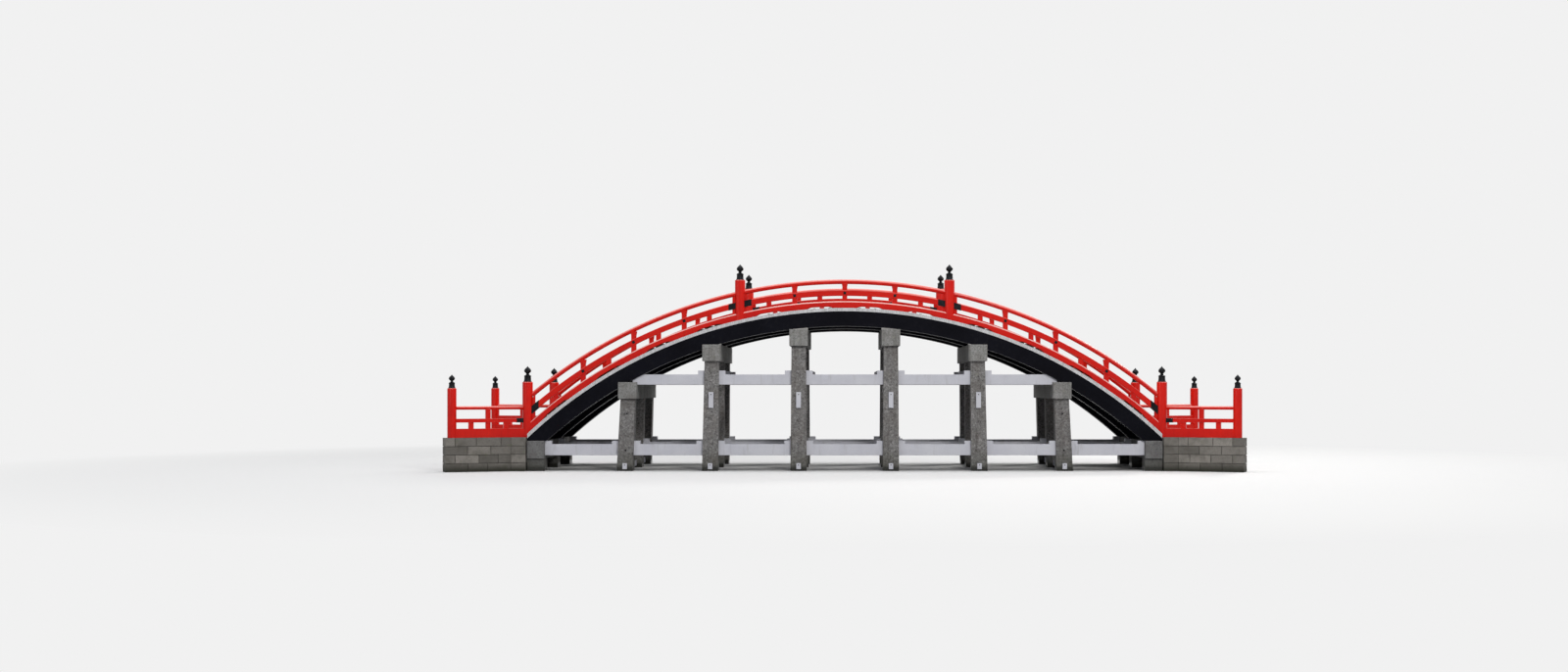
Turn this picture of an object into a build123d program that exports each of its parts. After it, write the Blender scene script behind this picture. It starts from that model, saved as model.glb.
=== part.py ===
"""Arched timber moon bridge on stone bents, at its real size in millimetres.

X runs along the bridge, Y across it and Z up. The origin lies at mid-span and mid-width, at the
water line, where the stone pillars meet the water. Every long timber follows one circle or a
circle about the same centre, so a piece bent to the arch is a band between two radii.
"""

import math
import os

from build123d import *

os.makedirs("parts", exist_ok=True)

# Clearances
SEAT_GAP = 0.3
JOINT_PLAY = 1.0
BEND_GAP = 0.8

# The arch
GIRDER_TOP_RADIUS = 14460.0
GIRDER_DEPTH = 465.0
GIRDER_WIDTH = 360.0
GIRDER_END_SETBACK = 20.0
GIRDER_TOE_DEPTH = 79.0
ROW_SPACING = 2600.0
DECK_THICKNESS = 108.0
DECK_OVERHANG = 200.0

# Stone bents, by distance of their middle from mid-span
BENT_PLACES = (1450.0, 4180.0, 6820.0)
BENT_NOTCHES = (-30.0, 54.0, 9.0)
BENT_LEANS = (0.0, 50.0, 90.0)
PILLAR_TOP_WIDTH = 450.0
PILLAR_FOOT_WIDTH = 510.0
CAP_WIDTH = 580.0
CAP_HEIGHT = 520.0
CAP_OVERHANG = 350.0
END_CAP_SETBACK = 10.0
END_CAP_WIDTH = 540.0
END_CAP_HEIGHT = 555.0
END_CAP_TOP = 945.0
END_PILLAR_WIDTH = 560.0

# Stone ties
TIE_WIDTH = 220.0
TIE_HOUSING = 45.0
TIE_END_LENGTH = 200.0
LOWER_TIE_HEIGHT = 352.0
LOWER_TIE_END_RISE = 105.0
UPPER_TIE_DROP = 77.0
UPPER_TIE_HEIGHT = 321.0
UPPER_TIE_END_RISE = 124.0
TIE_TONGUE_LENGTH = 150.0
CROSS_TIE_PROUD = 70.0
UPPER_CROSS_TIE_WIDTH = 150.0
UPPER_CROSS_TIE_DROP = 733.0
UPPER_CROSS_TIE_HEIGHT = 500.0
LOWER_CROSS_TIE_WIDTH = 140.0
LOWER_CROSS_TIE_BOTTOM = 60.0
LOWER_CROSS_TIE_HEIGHT = 185.0
WEDGE_TOE = 8.0

# Banks
BANK_RISE = 115.0
ABUTMENT_LENGTH = 910.0
ABUTMENT_OVERHANG = 450.0
ABUTMENT_JOINT = 10.0
FOOTING_WIDTH = 500.0

# Railing along the arch
SILL_HEIGHT = 216.0
SILL_WIDTH = 240.0
DRAIN_LENGTH = 750.0
DRAIN_HEIGHT = 45.0
LOWER_OPENING = 170.0
MIDDLE_RAIL_HEIGHT = 170.0
MIDDLE_RAIL_WIDTH = 170.0
UPPER_OPENING = 200.0
TOP_RAIL_DIAMETER = 145.0
RAIL_FLATS = 8
POST_PLACES = (0.0, 1580.0, 5060.0, 6650.0, 8245.0)
STRUT_PLACES = (785.0, 2390.0, 4270.0, 5870.0, 7440.0, 9100.0)
POST_WIDTH = 155.0
POST_THICKNESS = 130.0
POST_TENON_WIDTH = 110.0
POST_TENON_THICKNESS = 70.0
STRUT_THICKNESS = 120.0
BEARING_BLOCK_HEIGHT = 70.0
BEARING_BLOCK_FLARE = 22.0
BEARING_BLOCK_LAP = 25.0
JAMB_WIDTH = 80.0
JAMB_THICKNESS = 70.0
JAMB_LAP = 6.0
SLEEVE_LENGTH = 200.0
SLEEVE_THICKNESS = 8.0

# Newels
NEWEL_DIAMETER = 325.0
NEWEL_PLACES = (3300.0, 10000.0)
NEWEL_RISE = 1372.0
BASE_NEWEL_RISE = 1740.0
NEWEL_CAP_WIDTH = 262.0
CAP_FLATS = 16
NEWEL_CAP_HEIGHT = 500.0
CAP_RADII = (1.0, 0.8, 0.33, 0.84, 0.5)
CAP_RISES = (0.0, 0.38, 0.5, 0.68, 0.84)

# Wing railings
WING_ANGLE = 22.0
WING_LENGTH = 2370.0
WING_NEWEL_DIAMETER = 280.0
WING_NEWEL_RISE = 1540.0
WING_CAP_WIDTH = 225.0
WING_CAP_HEIGHT = 430.0
WING_SILL_HEIGHT = 280.0
WING_SILL_WIDTH = 220.0
WING_LOWER_OPENING = 190.0
WING_MIDDLE_HEIGHT = 120.0
WING_MIDDLE_WIDTH = 140.0
WING_UPPER_OPENING = 280.0
WING_TOP_RAIL_DIAMETER = 110.0
WING_POST_PLACE = 1250.0
WING_STRUT_PLACES = (690.0, 1780.0)

# Steps and cleats
STEP_SETBACK = 220.0
STEP_RUN = 310.0
STEP_JOINT = 8.0
STEP_COUNT = 20
STEP_THICKNESS = 34.0
WALKWAY_CLEARANCE = 7.5
CLEAT_COUNT = 13
CLEAT_PITCH = 480.0
CLEAT_WIDTH = 75.0
CLEAT_HEIGHT = 28.0

# Places, widths, radii and heights that follow from the sizes above
GIRDER_END = NEWEL_PLACES[1] - GIRDER_END_SETBACK
END_BENT_PLACE = GIRDER_END - END_CAP_SETBACK - END_CAP_WIDTH / 2
STEP_START = NEWEL_PLACES[0] + STEP_SETBACK
DECK_HALF_WIDTH = ROW_SPACING + DECK_OVERHANG
CAP_HALF_LENGTH = ROW_SPACING + CAP_OVERHANG
ABUTMENT_HALF_WIDTH = ROW_SPACING + ABUTMENT_OVERHANG
WALKWAY_HALF_WIDTH = ROW_SPACING - NEWEL_DIAMETER / 2 - WALKWAY_CLEARANCE
ARC_CENTRE_Z = END_CAP_TOP + GIRDER_TOE_DEPTH - math.sqrt(GIRDER_TOP_RADIUS**2 - GIRDER_END**2)
CROWN_HEIGHT = ARC_CENTRE_Z + GIRDER_TOP_RADIUS
LOWER_TIE_BOTTOM = END_CAP_TOP - LOWER_TIE_END_RISE - LOWER_TIE_HEIGHT
BANK_LEVEL = END_CAP_TOP + BANK_RISE
BASE_NEWEL_TOP = BANK_LEVEL + BASE_NEWEL_RISE
WING_NEWEL_TOP = BANK_LEVEL + WING_NEWEL_RISE
SOFFIT_RADIUS = GIRDER_TOP_RADIUS - GIRDER_DEPTH
DECK_BOTTOM_RADIUS = GIRDER_TOP_RADIUS + SEAT_GAP
DECK_TOP_RADIUS = GIRDER_TOP_RADIUS + DECK_THICKNESS
SILL_BOTTOM_RADIUS = DECK_TOP_RADIUS + SEAT_GAP
SILL_TOP_RADIUS = DECK_TOP_RADIUS + SILL_HEIGHT
MIDDLE_BOTTOM_RADIUS = SILL_TOP_RADIUS + LOWER_OPENING
MIDDLE_TOP_RADIUS = MIDDLE_BOTTOM_RADIUS + MIDDLE_RAIL_HEIGHT
TOP_RAIL_RADIUS = MIDDLE_TOP_RADIUS + UPPER_OPENING + TOP_RAIL_DIAMETER / 2
WING_SILL_TOP = BANK_LEVEL + WING_SILL_HEIGHT
WING_MIDDLE_BOTTOM = WING_SILL_TOP + WING_LOWER_OPENING
WING_MIDDLE_TOP = WING_MIDDLE_BOTTOM + WING_MIDDLE_HEIGHT
SIDES = {"front": -1, "back": 1}
ENDS = {"west": -1, "east": 1}
ROWS = {"front": -ROW_SPACING, "middle": 0.0, "back": ROW_SPACING}


def arc_height(radius, x):
    """Height at x of the circle of this radius about the arch's centre."""
    return ARC_CENTRE_Z + math.sqrt(radius**2 - x**2)


def arc_reach(radius, z):
    """Distance from mid-span at which that circle passes through height z."""
    return math.sqrt(radius**2 - (z - ARC_CENTRE_Z) ** 2)


def arc_edge(radius, x0, x1):
    places = (x0, (x0 + x1) / 2, x1)
    return ThreePointArc(*[(x, 0, arc_height(radius, x)) for x in places])


def across(edges, y0, y1):
    """Solid of a closed outline in the XZ plane, from y0 to y1."""
    face = Face(Wire(edges)).moved(Location((0, y0, 0)))
    return extrude(face, amount=y1 - y0, dir=(0, 1, 0))


def closed(arc, *corners):
    """Outline along an arc and back through the corners."""
    points = [arc @ 1, *corners, arc @ 0]
    return [arc, *[Line(a, b) for a, b in zip(points, points[1:])]]


def arc_band(inner, outer, x0, x1, y0, y1):
    """Band between two radii, with plumb ends at x0 and x1."""
    lower = arc_edge(inner, x0, x1)
    upper = arc_edge(outer, x0, x1)
    ends = [Line(lower @ 0, upper @ 0), Line(lower @ 1, upper @ 1)]
    return across([lower, upper, *ends], y0, y1)


def under_arc(radius, x0, x1, y0, y1):
    """All the room under an arc, down to the water line."""
    return across(closed(arc_edge(radius, x0, x1), (x1, 0, 0), (x0, 0, 0)), y0, y1)


def tapered(z0, z1, foot, head):
    """Block with plane sides; its foot and its head are each an X middle, a Y middle, and X and Y widths."""

    def spread(section, axis):
        half = section[axis + 2] / 2
        return section[axis] - half, section[axis] + half

    solids = []
    for axis in (0, 1):
        low, high = spread(foot, axis), spread(head, axis)
        corners = [(low[0], z0), (low[1], z0), (high[1], z1), (high[0], z1)]
        other = 1 - axis
        start = min(spread(foot, other)[0], spread(head, other)[0])
        stop = max(spread(foot, other)[1], spread(head, other)[1])
        if axis == 0:
            outline = [(u, start, z) for u, z in corners]
        else:
            outline = [(start, u, z) for u, z in corners]
        way = (0, 1, 0) if axis == 0 else (1, 0, 0)
        solids.append(extrude(Face(Wire.make_polygon(outline)), amount=stop - start, dir=way))
    return solids[0] & solids[1]


def block(x0, x1, y0, y1, z0, z1):
    middle = ((x0 + x1) / 2, (y0 + y1) / 2, (z0 + z1) / 2)
    return Pos(*middle) * Box(abs(x1 - x0), abs(y1 - y0), abs(z1 - z0))


def meets(shape, other):
    """Whether the boxes round two shapes share any room."""
    a, b = shape.bounding_box(), other.bounding_box()
    apart = (a.max.X < b.min.X, b.max.X < a.min.X, a.max.Y < b.min.Y, b.max.Y < a.min.Y)
    return not any(apart) and a.max.Z > b.min.Z and b.max.Z > a.min.Z


def cut_by(shape, cutters):
    for cutter in cutters:
        if meets(shape, cutter):
            shape -= cutter
    return shape


def upright(x, y, radius, z0, z1):
    return Pos(x, y, (z0 + z1) / 2) * Cylinder(radius, z1 - z0)


def on_slope(radius, x, y):
    """Place on an arc, with its own X along the slope there."""
    return Pos(x, y, arc_height(radius, x)) * Rot(0, math.degrees(math.asin(x / radius)), 0)


def ring_of_corners(radius, z, count):
    turns = [2 * math.pi * n / count for n in range(count)]
    return [(radius * math.cos(turn), radius * math.sin(turn), z) for turn in turns]


def flat_sided(profile, top, count):
    """Solid with this many flats round the Z axis: a pointed profile of radii and heights, and its top."""
    rings = [ring_of_corners(radius, z, count) for radius, z in profile]
    outlines = [rings[0]]
    for n in range(count):
        m = (n + 1) % count
        outlines += [[low[n], low[m], high[m], high[n]] for low, high in zip(rings, rings[1:])]
        outlines.append([rings[-1][n], rings[-1][m], (0, 0, top)])
    return Solid(Shell([Face(Wire.make_polygon(outline)) for outline in outlines]))


def save(name, solids):
    pieces = [solid for shape in solids for solid in shape.solids()]
    export_step(Compound(children=pieces), f"parts/{name}.step")


class Bent:
    """One row of pillars across the bridge, with the heights that its place gives it."""

    def __init__(self, end, number):
        self.end = end
        self.x = end * BENT_PLACES[number]
        self.lean = end * BENT_LEANS[number]
        self.cap_top = arc_height(SOFFIT_RADIUS, self.x) + BENT_NOTCHES[number]
        self.cap_bottom = self.cap_top - CAP_HEIGHT
        self.inner_face = self.x - end * CAP_WIDTH / 2
        self.outer_face = self.x + end * CAP_WIDTH / 2

    def middle_at(self, z):
        """X of the pillars' middle at height z: their feet stand further out than their heads."""
        return self.x + self.lean * (1 - z / self.cap_bottom)

    def half_width_at(self, z):
        taper = (PILLAR_FOOT_WIDTH - PILLAR_TOP_WIDTH) * (1 - z / self.cap_bottom)
        return (PILLAR_TOP_WIDTH + taper) / 2

    def face_at(self, z, side):
        return self.middle_at(z) + side * self.half_width_at(z)


BENTS = [Bent(-1, number) for number in (2, 1, 0)] + [Bent(1, number) for number in (0, 1, 2)]
HIGH_BENTS = BENTS[1:-1]
UPPER_TIE_BOTTOM = BENTS[-1].cap_top - UPPER_TIE_DROP
UPPER_CROSS_TIE_BOTTOM = UPPER_TIE_BOTTOM - UPPER_CROSS_TIE_DROP


def pillar(bent, y):
    foot = (bent.middle_at(0), y, PILLAR_FOOT_WIDTH, PILLAR_FOOT_WIDTH)
    head = (bent.x, y, PILLAR_TOP_WIDTH, PILLAR_TOP_WIDTH)
    return tapered(0, bent.cap_bottom, foot, head)


def tie_spans():
    """Each tie as its height values and its two end planes, with the bents it stands between."""
    for z0, height, rise, bents in (
        (LOWER_TIE_BOTTOM, LOWER_TIE_HEIGHT, LOWER_TIE_END_RISE, BENTS),
        (UPPER_TIE_BOTTOM, UPPER_TIE_HEIGHT, UPPER_TIE_END_RISE, HIGH_BENTS),
    ):
        middle = z0 + height / 2
        for left, right in zip(bents, bents[1:]):
            x0 = left.face_at(middle, 1) - TIE_HOUSING
            x1 = right.face_at(middle, -1) + TIE_HOUSING
            yield z0, height, rise, x0, x1


def tie_body(z0, height, rise, x0, x1, y, raised=(True, True), play=0.0):
    """One tie with its raised ends; play widens it at the sides, top and ends for its mortise."""
    y0 = y - TIE_WIDTH / 2 - play
    y1 = y + TIE_WIDTH / 2 + play
    end = TIE_END_LENGTH + TIE_HOUSING
    body = block(x0 - play, x1 + play, y0, y1, z0, z0 + height + play)
    if raised[0]:
        body += block(x0 - play, x0 + end + play, y0, y1, z0, z0 + height + rise + play)
    if raised[1]:
        body += block(x1 - end - play, x1 + play, y0, y1, z0, z0 + height + rise + play)
    return body


def outer_lower_tie(end, y, play=0.0):
    """From the last high bent to the end bent's cap beam."""
    bent = BENTS[0] if end < 0 else BENTS[-1]
    middle = LOWER_TIE_BOTTOM + LOWER_TIE_HEIGHT / 2
    near = bent.face_at(middle, end) - end * TIE_HOUSING
    far = end * (END_BENT_PLACE - END_CAP_WIDTH / 2 + TIE_HOUSING)
    x0, x1 = sorted((near, far))
    sizes = (LOWER_TIE_BOTTOM, LOWER_TIE_HEIGHT, LOWER_TIE_END_RISE)
    return tie_body(*sizes, x0, x1, y, play=play)


def outer_upper_tie(end, y, play=0.0):
    """From the second bent to the last cap beam, where a tongue runs on over it to the girder."""
    bent, last = (BENTS[1], BENTS[0]) if end < 0 else (BENTS[-2], BENTS[-1])
    middle = UPPER_TIE_BOTTOM + UPPER_TIE_HEIGHT / 2
    near = bent.face_at(middle, end) - end * TIE_HOUSING
    far = last.inner_face
    raised = (end > 0, end < 0)
    sizes = (UPPER_TIE_BOTTOM, UPPER_TIE_HEIGHT, UPPER_TIE_END_RISE)
    x0, x1 = sorted((near, far))
    tie = tie_body(*sizes, x0, x1, y, raised=raised, play=play)
    y0, y1 = y - TIE_WIDTH / 2, y + TIE_WIDTH / 2
    tongue_end = far + end * TIE_TONGUE_LENGTH
    tie += block(far, tongue_end, y0, y1, last.cap_top, UPPER_TIE_BOTTOM + UPPER_TIE_HEIGHT)
    girder = arc_band(SOFFIT_RADIUS - SEAT_GAP, GIRDER_TOP_RADIUS, x0 - TIE_WIDTH, x1 + TIE_WIDTH, y0, y1)
    return tie - girder


def cross_tie(bent, z0, height, width, play=0.0):
    middle = bent.middle_at(z0 + height / 2)
    outer_face = ROW_SPACING + bent.half_width_at(z0 + height / 2)
    reach = outer_face + CROSS_TIE_PROUD
    half = width / 2 + play
    return block(middle - half, middle + half, -reach, reach, z0, z0 + height + play)


def lower_cross_tie(bent, play=0.0):
    return cross_tie(bent, LOWER_CROSS_TIE_BOTTOM, LOWER_CROSS_TIE_HEIGHT, LOWER_CROSS_TIE_WIDTH, play)


def upper_cross_tie(bent, play=0.0):
    return cross_tie(bent, UPPER_CROSS_TIE_BOTTOM, UPPER_CROSS_TIE_HEIGHT, UPPER_CROSS_TIE_WIDTH, play)


def stone_bents():
    mortises = {y: [] for y in ROWS.values()}
    for y in ROWS.values():
        for z0, height, rise, x0, x1 in tie_spans():
            mortises[y].append(tie_body(z0, height, rise, x0, x1, y, play=JOINT_PLAY))
        for end in ENDS.values():
            mortises[y].append(outer_lower_tie(end, y, JOINT_PLAY))
            mortises[y].append(outer_upper_tie(end, y, JOINT_PLAY))
    for number, bent in enumerate(BENTS, start=1):
        through = [lower_cross_tie(bent, JOINT_PLAY)]
        if bent in HIGH_BENTS:
            through.append(upper_cross_tie(bent, JOINT_PLAY))
        pillars = [cut_by(pillar(bent, y), mortises[y] + through) for y in ROWS.values()]
        save(f"bent_{number}_pillars", pillars)


def cap_beams():
    caps = []
    for bent in BENTS:
        x0, x1 = bent.x - CAP_WIDTH / 2, bent.x + CAP_WIDTH / 2
        caps.append(block(x0, x1, -CAP_HALF_LENGTH, CAP_HALF_LENGTH, bent.cap_bottom, bent.cap_top))
    end_pillars = []
    for end in ENDS.values():
        x = end * END_BENT_PLACE
        x0, x1 = x - END_CAP_WIDTH / 2, x + END_CAP_WIDTH / 2
        z0 = END_CAP_TOP - END_CAP_HEIGHT
        cap = block(x0, x1, -CAP_HALF_LENGTH, CAP_HALF_LENGTH, z0, END_CAP_TOP)
        for y in ROWS.values():
            cap -= outer_lower_tie(end, y, JOINT_PLAY)
            half = END_PILLAR_WIDTH / 2
            end_pillars.append(block(x - half, x + half, y - half, y + half, 0, z0))
        caps.append(cap)
    save("cap_beams", caps)
    save("end_bent_pillars", end_pillars)


def ties():
    lower, upper = [], []
    for y in ROWS.values():
        for z0, height, rise, x0, x1 in tie_spans():
            level = lower if z0 == LOWER_TIE_BOTTOM else upper
            level.append(tie_body(z0, height, rise, x0, x1, y))
        for end in ENDS.values():
            lower.append(outer_lower_tie(end, y))
            upper.append(outer_upper_tie(end, y))
    save("lower_tie_beams", lower)
    save("upper_tie_beams", upper)
    save("lower_cross_ties", [lower_cross_tie(bent) for bent in BENTS])
    save("upper_cross_ties", [upper_cross_tie(bent) for bent in HIGH_BENTS])


def girder(y):
    """Arched girder, cut level over the end bents, and notched and spliced over the cap beams."""
    y0, y1 = y - GIRDER_WIDTH / 2, y + GIRDER_WIDTH / 2
    timber = arc_band(SOFFIT_RADIUS, GIRDER_TOP_RADIUS, -GIRDER_END, GIRDER_END, y0, y1)
    for end in ENDS.values():
        near, far = END_BENT_PLACE - END_CAP_WIDTH, GIRDER_END + JOINT_PLAY
        timber -= block(end * near, end * far, y0, y1, 0, END_CAP_TOP)
    for bent in BENTS:
        x0 = bent.inner_face - bent.end * JOINT_PLAY
        x1 = bent.outer_face + bent.end * JOINT_PLAY
        timber -= block(x0, x1, y0, y1, bent.cap_bottom, bent.cap_top)
        timber -= block(bent.x - SEAT_GAP / 2, bent.x + SEAT_GAP / 2, y0, y1, 0, CROWN_HEIGHT)
    return timber


def wedge(bent, y):
    """Timber wedge on a cap beam's uphill half, under the sloping soffit."""
    radius = SOFFIT_RADIUS - SEAT_GAP
    tip = bent.end * arc_reach(radius, bent.cap_top + WEDGE_TOE)
    top = arc_edge(radius, bent.inner_face, tip)
    outline = closed(top, (tip, 0, bent.cap_top), (bent.inner_face, 0, bent.cap_top))
    return across(outline, y - GIRDER_WIDTH / 2, y + GIRDER_WIDTH / 2)


def girders():
    for name, y in ROWS.items():
        save(f"girder_{name}", [girder(y)])
    save("bearing_wedges", [wedge(bent, y) for bent in HIGH_BENTS for y in ROWS.values()])


def deck():
    split = NEWEL_PLACES[0]
    lengths = {"west": (-GIRDER_END, -split), "crown": (-split, split), "east": (split, GIRDER_END)}
    for name, (x0, x1) in lengths.items():
        band = arc_band(DECK_BOTTOM_RADIUS, DECK_TOP_RADIUS, x0, x1, -DECK_HALF_WIDTH, DECK_HALF_WIDTH)
        save(f"deck_{name}", [band])


def tread(end, number):
    """Level tread: its underside follows the deck and its top is level with its uphill edge."""
    uphill = STEP_START + number * STEP_RUN
    downhill = uphill + STEP_RUN - STEP_JOINT
    radius = DECK_TOP_RADIUS + SEAT_GAP
    top = arc_height(DECK_TOP_RADIUS, uphill) + STEP_THICKNESS
    bottom = arc_edge(radius, end * uphill, end * downhill)
    outline = closed(bottom, (end * downhill, 0, top), (end * uphill, 0, top))
    return across(outline, -WALKWAY_HALF_WIDTH, WALKWAY_HALF_WIDTH)


def cleat(number):
    x = (number - (CLEAT_COUNT - 1) / 2) * CLEAT_PITCH
    place = on_slope(DECK_TOP_RADIUS + SEAT_GAP + CLEAT_HEIGHT / 2, x, 0)
    return place * Box(CLEAT_WIDTH, 2 * WALKWAY_HALF_WIDTH, CLEAT_HEIGHT)


def walkway():
    for name, end in ENDS.items():
        save(f"steps_{name}", [tread(end, number) for number in range(STEP_COUNT)])
    save("crown_cleats", [cleat(number) for number in range(CLEAT_COUNT)])


def wing_footing(gap=0.0):
    """Wall under a wing railing, in the railing's own frame, from where it leaves the abutment's corner."""
    angle = math.radians(WING_ANGLE)
    half = FOOTING_WIDTH / 2 + gap
    start = (ABUTMENT_OVERHANG - FOOTING_WIDTH / 2 * math.cos(angle)) / math.sin(angle) - gap
    return block(start, WING_LENGTH + FOOTING_WIDTH / 2, -half, half, 0, BANK_LEVEL)


def abutments():
    """Masonry blocks under the base newels, housed at their outer corners round the wing footings."""
    footings = []
    for name, end in ENDS.items():
        near = end * (GIRDER_END + ABUTMENT_JOINT)
        far = near + end * ABUTMENT_LENGTH
        stone = block(near, far, -ABUTMENT_HALF_WIDTH, ABUTMENT_HALF_WIDTH, 0, BANK_LEVEL)
        for side in SIDES.values():
            stone -= wing_place(end, side) * wing_footing(SEAT_GAP)
            footings.append(wing_place(end, side) * wing_footing())
        save(f"abutment_{name}", [max(stone.solids(), key=lambda solid: solid.volume)])
    save("wing_footings", footings)


def wing_place(end, side):
    """Place of a wing railing, drawn along X from its base newel's middle."""
    angle = WING_ANGLE if end > 0 else 180 - WING_ANGLE
    return Location((end * NEWEL_PLACES[1], side * ROW_SPACING, 0), (0, 0, side * angle))


def all_newel_places():
    for place in NEWEL_PLACES:
        for end in ENDS.values():
            yield end * place


def newel_cutters(y):
    """Cylinders that end the rails on the newels' round faces."""
    radius = NEWEL_DIAMETER / 2 + SEAT_GAP
    top = CROWN_HEIGHT + NEWEL_RISE
    return [upright(x, y, radius, 0, top) for x in all_newel_places()]


def plumb_stub(inner, outer, x, width, y, thickness):
    """Short plumb piece between two radii, its ends sawn straight: the foot touches the inner arc."""
    half = width / 2
    fall = half * x / math.sqrt(inner**2 - x**2)
    foot = arc_height(inner, x)
    corners = [(x - half, y, foot + fall), (x + half, y, foot - fall)]
    corners += [(place, y, arc_height(outer, place)) for place in (x + half, x - half)]
    return extrude(Face(Wire.make_polygon(corners)), amount=thickness / 2, dir=(0, 1, 0), both=True)


def rail_section(radius):
    """Near-round section with flats, one of them level on top; the radius is to the flats."""
    return RegularPolygon(radius, RAIL_FLATS, major_radius=False, rotation=180 / RAIL_FLATS)


def top_rail(y, radius):
    """Rail bent to the arch, from base newel to base newel."""
    reach = math.degrees(math.asin(NEWEL_PLACES[1] / TOP_RAIL_RADIUS))
    axis = Axis((0, 0, ARC_CENTRE_Z), (0, 1, 0))
    section = Plane(origin=(0, y, ARC_CENTRE_Z + TOP_RAIL_RADIUS), z_dir=(1, 0, 0)) * rail_section(radius)
    return revolve(section.rotate(axis, -reach), axis=axis, revolution_arc=2 * reach)


def saddle(x, y):
    """Straight length of the top rail's section along the slope, grown for the rail's bend."""
    section = Plane.YZ * rail_section(TOP_RAIL_DIAMETER / 2 + BEND_GAP)
    return on_slope(TOP_RAIL_RADIUS, x, y) * extrude(section, amount=SLEEVE_LENGTH, both=True)


def full_post(x, y):
    """Plumb post that passes through the middle rail and carries the top rail on a flared block."""
    seat_radius = TOP_RAIL_RADIUS - TOP_RAIL_DIAMETER / 2
    shaft_top = seat_radius - BEARING_BLOCK_HEIGHT
    sizes = (x, POST_WIDTH, y, POST_THICKNESS)
    lower = plumb_stub(SILL_TOP_RADIUS + SEAT_GAP, MIDDLE_BOTTOM_RADIUS - SEAT_GAP, *sizes)
    tenon_radii = (MIDDLE_BOTTOM_RADIUS - 2 * JOINT_PLAY, MIDDLE_TOP_RADIUS + 2 * JOINT_PLAY)
    tenon = plumb_stub(*tenon_radii, x, POST_TENON_WIDTH, y, POST_TENON_THICKNESS)
    shaft = plumb_stub(MIDDLE_TOP_RADIUS + SEAT_GAP, shaft_top, *sizes)
    z0 = arc_height(shaft_top, abs(x) + POST_WIDTH / 2)
    z1 = arc_height(seat_radius, x) + BEARING_BLOCK_LAP
    flare = 2 * BEARING_BLOCK_FLARE
    foot = (x, y, POST_WIDTH, POST_THICKNESS)
    head = (x, y, POST_WIDTH + flare, POST_THICKNESS + flare)
    return lower + tenon + shaft + tapered(z0, z1, foot, head) - saddle(x, y)


def railing(name, side):
    y = side * ROW_SPACING
    cutters = newel_cutters(y)
    end = NEWEL_PLACES[1]

    sill = arc_band(SILL_BOTTOM_RADIUS, SILL_TOP_RADIUS, -end, end, y - SILL_WIDTH / 2, y + SILL_WIDTH / 2)
    for place in STRUT_PLACES:
        for x in (-place, place):
            drain = Box(DRAIN_LENGTH, SILL_WIDTH + JOINT_PLAY, 2 * DRAIN_HEIGHT)
            sill -= on_slope(SILL_BOTTOM_RADIUS, x, y) * drain
    save(f"base_rail_{name}", [cut_by(sill, cutters)])

    half_width = MIDDLE_RAIL_WIDTH / 2
    middle = arc_band(MIDDLE_BOTTOM_RADIUS, MIDDLE_TOP_RADIUS, -end, end, y - half_width, y + half_width)
    post_places = sorted({sign * place for place in POST_PLACES for sign in (-1, 1)})
    for x in post_places:
        width = POST_TENON_WIDTH + 2 * JOINT_PLAY
        thickness = POST_TENON_THICKNESS + 2 * JOINT_PLAY
        middle -= plumb_stub(SILL_TOP_RADIUS, TOP_RAIL_RADIUS, x, width, y, thickness)
    save(f"middle_rail_{name}", [cut_by(middle, cutters)])

    save(f"top_rail_{name}", [cut_by(top_rail(y, TOP_RAIL_DIAMETER / 2), cutters)])

    posts = [full_post(x, y) for x in post_places]
    save(f"posts_{name}", posts + jambs(y, cutters))

    radii = (SILL_TOP_RADIUS + SEAT_GAP, MIDDLE_BOTTOM_RADIUS - SEAT_GAP)
    strut_places = [sign * place for place in STRUT_PLACES for sign in (-1, 1)]
    save(f"struts_{name}", [plumb_stub(*radii, x, POST_WIDTH, y, STRUT_THICKNESS) for x in strut_places])


def newel_sides():
    """Each railed face of each newel, as its X and the way that the railing leaves it."""
    for x in all_newel_places():
        ways = (-1, 1) if abs(x) < NEWEL_PLACES[1] else (-math.copysign(1, x),)
        for way in ways:
            yield x, way


def jambs(y, cutters):
    """Thin uprights against the newels, in both openings of the railing."""
    strips = []
    clear = SEAT_GAP + SLEEVE_THICKNESS + SEAT_GAP
    for x, way in newel_sides():
        middle = x + way * (NEWEL_DIAMETER + JAMB_WIDTH - JAMB_LAP) / 2
        sizes = (middle, JAMB_WIDTH + JAMB_LAP, y, JAMB_THICKNESS)
        lower = plumb_stub(SILL_TOP_RADIUS + SEAT_GAP, MIDDLE_BOTTOM_RADIUS - clear, *sizes)
        upper = plumb_stub(MIDDLE_TOP_RADIUS + clear, TOP_RAIL_RADIUS, *sizes)
        strips += [cut_by(lower, cutters), cut_by(upper - saddle(middle, y), cutters)]
    return strips


def arch_sleeve(x, way, y):
    """Metal sleeve round the middle rail, following its bend outward from a newel's middle."""
    side = MIDDLE_RAIL_WIDTH / 2 + SEAT_GAP
    wall = SLEEVE_THICKNESS
    inner, outer = MIDDLE_BOTTOM_RADIUS - SEAT_GAP, MIDDLE_TOP_RADIUS + SEAT_GAP
    x0, x1 = sorted((x, x + way * (NEWEL_DIAMETER / 2 + SLEEVE_LENGTH)))
    skin = arc_band(inner - wall, outer + wall, x0, x1, y - side - wall, y + side + wall)
    return skin - arc_band(inner, outer, x0 - wall, x1 + wall, y - side, y + side)


def wing_sleeve():
    side = WING_MIDDLE_WIDTH / 2 + SEAT_GAP
    low, high = WING_MIDDLE_BOTTOM - SEAT_GAP, WING_MIDDLE_TOP + SEAT_GAP
    wall = SLEEVE_THICKNESS
    stop = NEWEL_DIAMETER / 2 + SLEEVE_LENGTH
    skin = block(0, stop, -side - wall, side + wall, low - wall, high + wall)
    return skin - block(0, stop + wall, -side, side, low, high)


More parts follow.
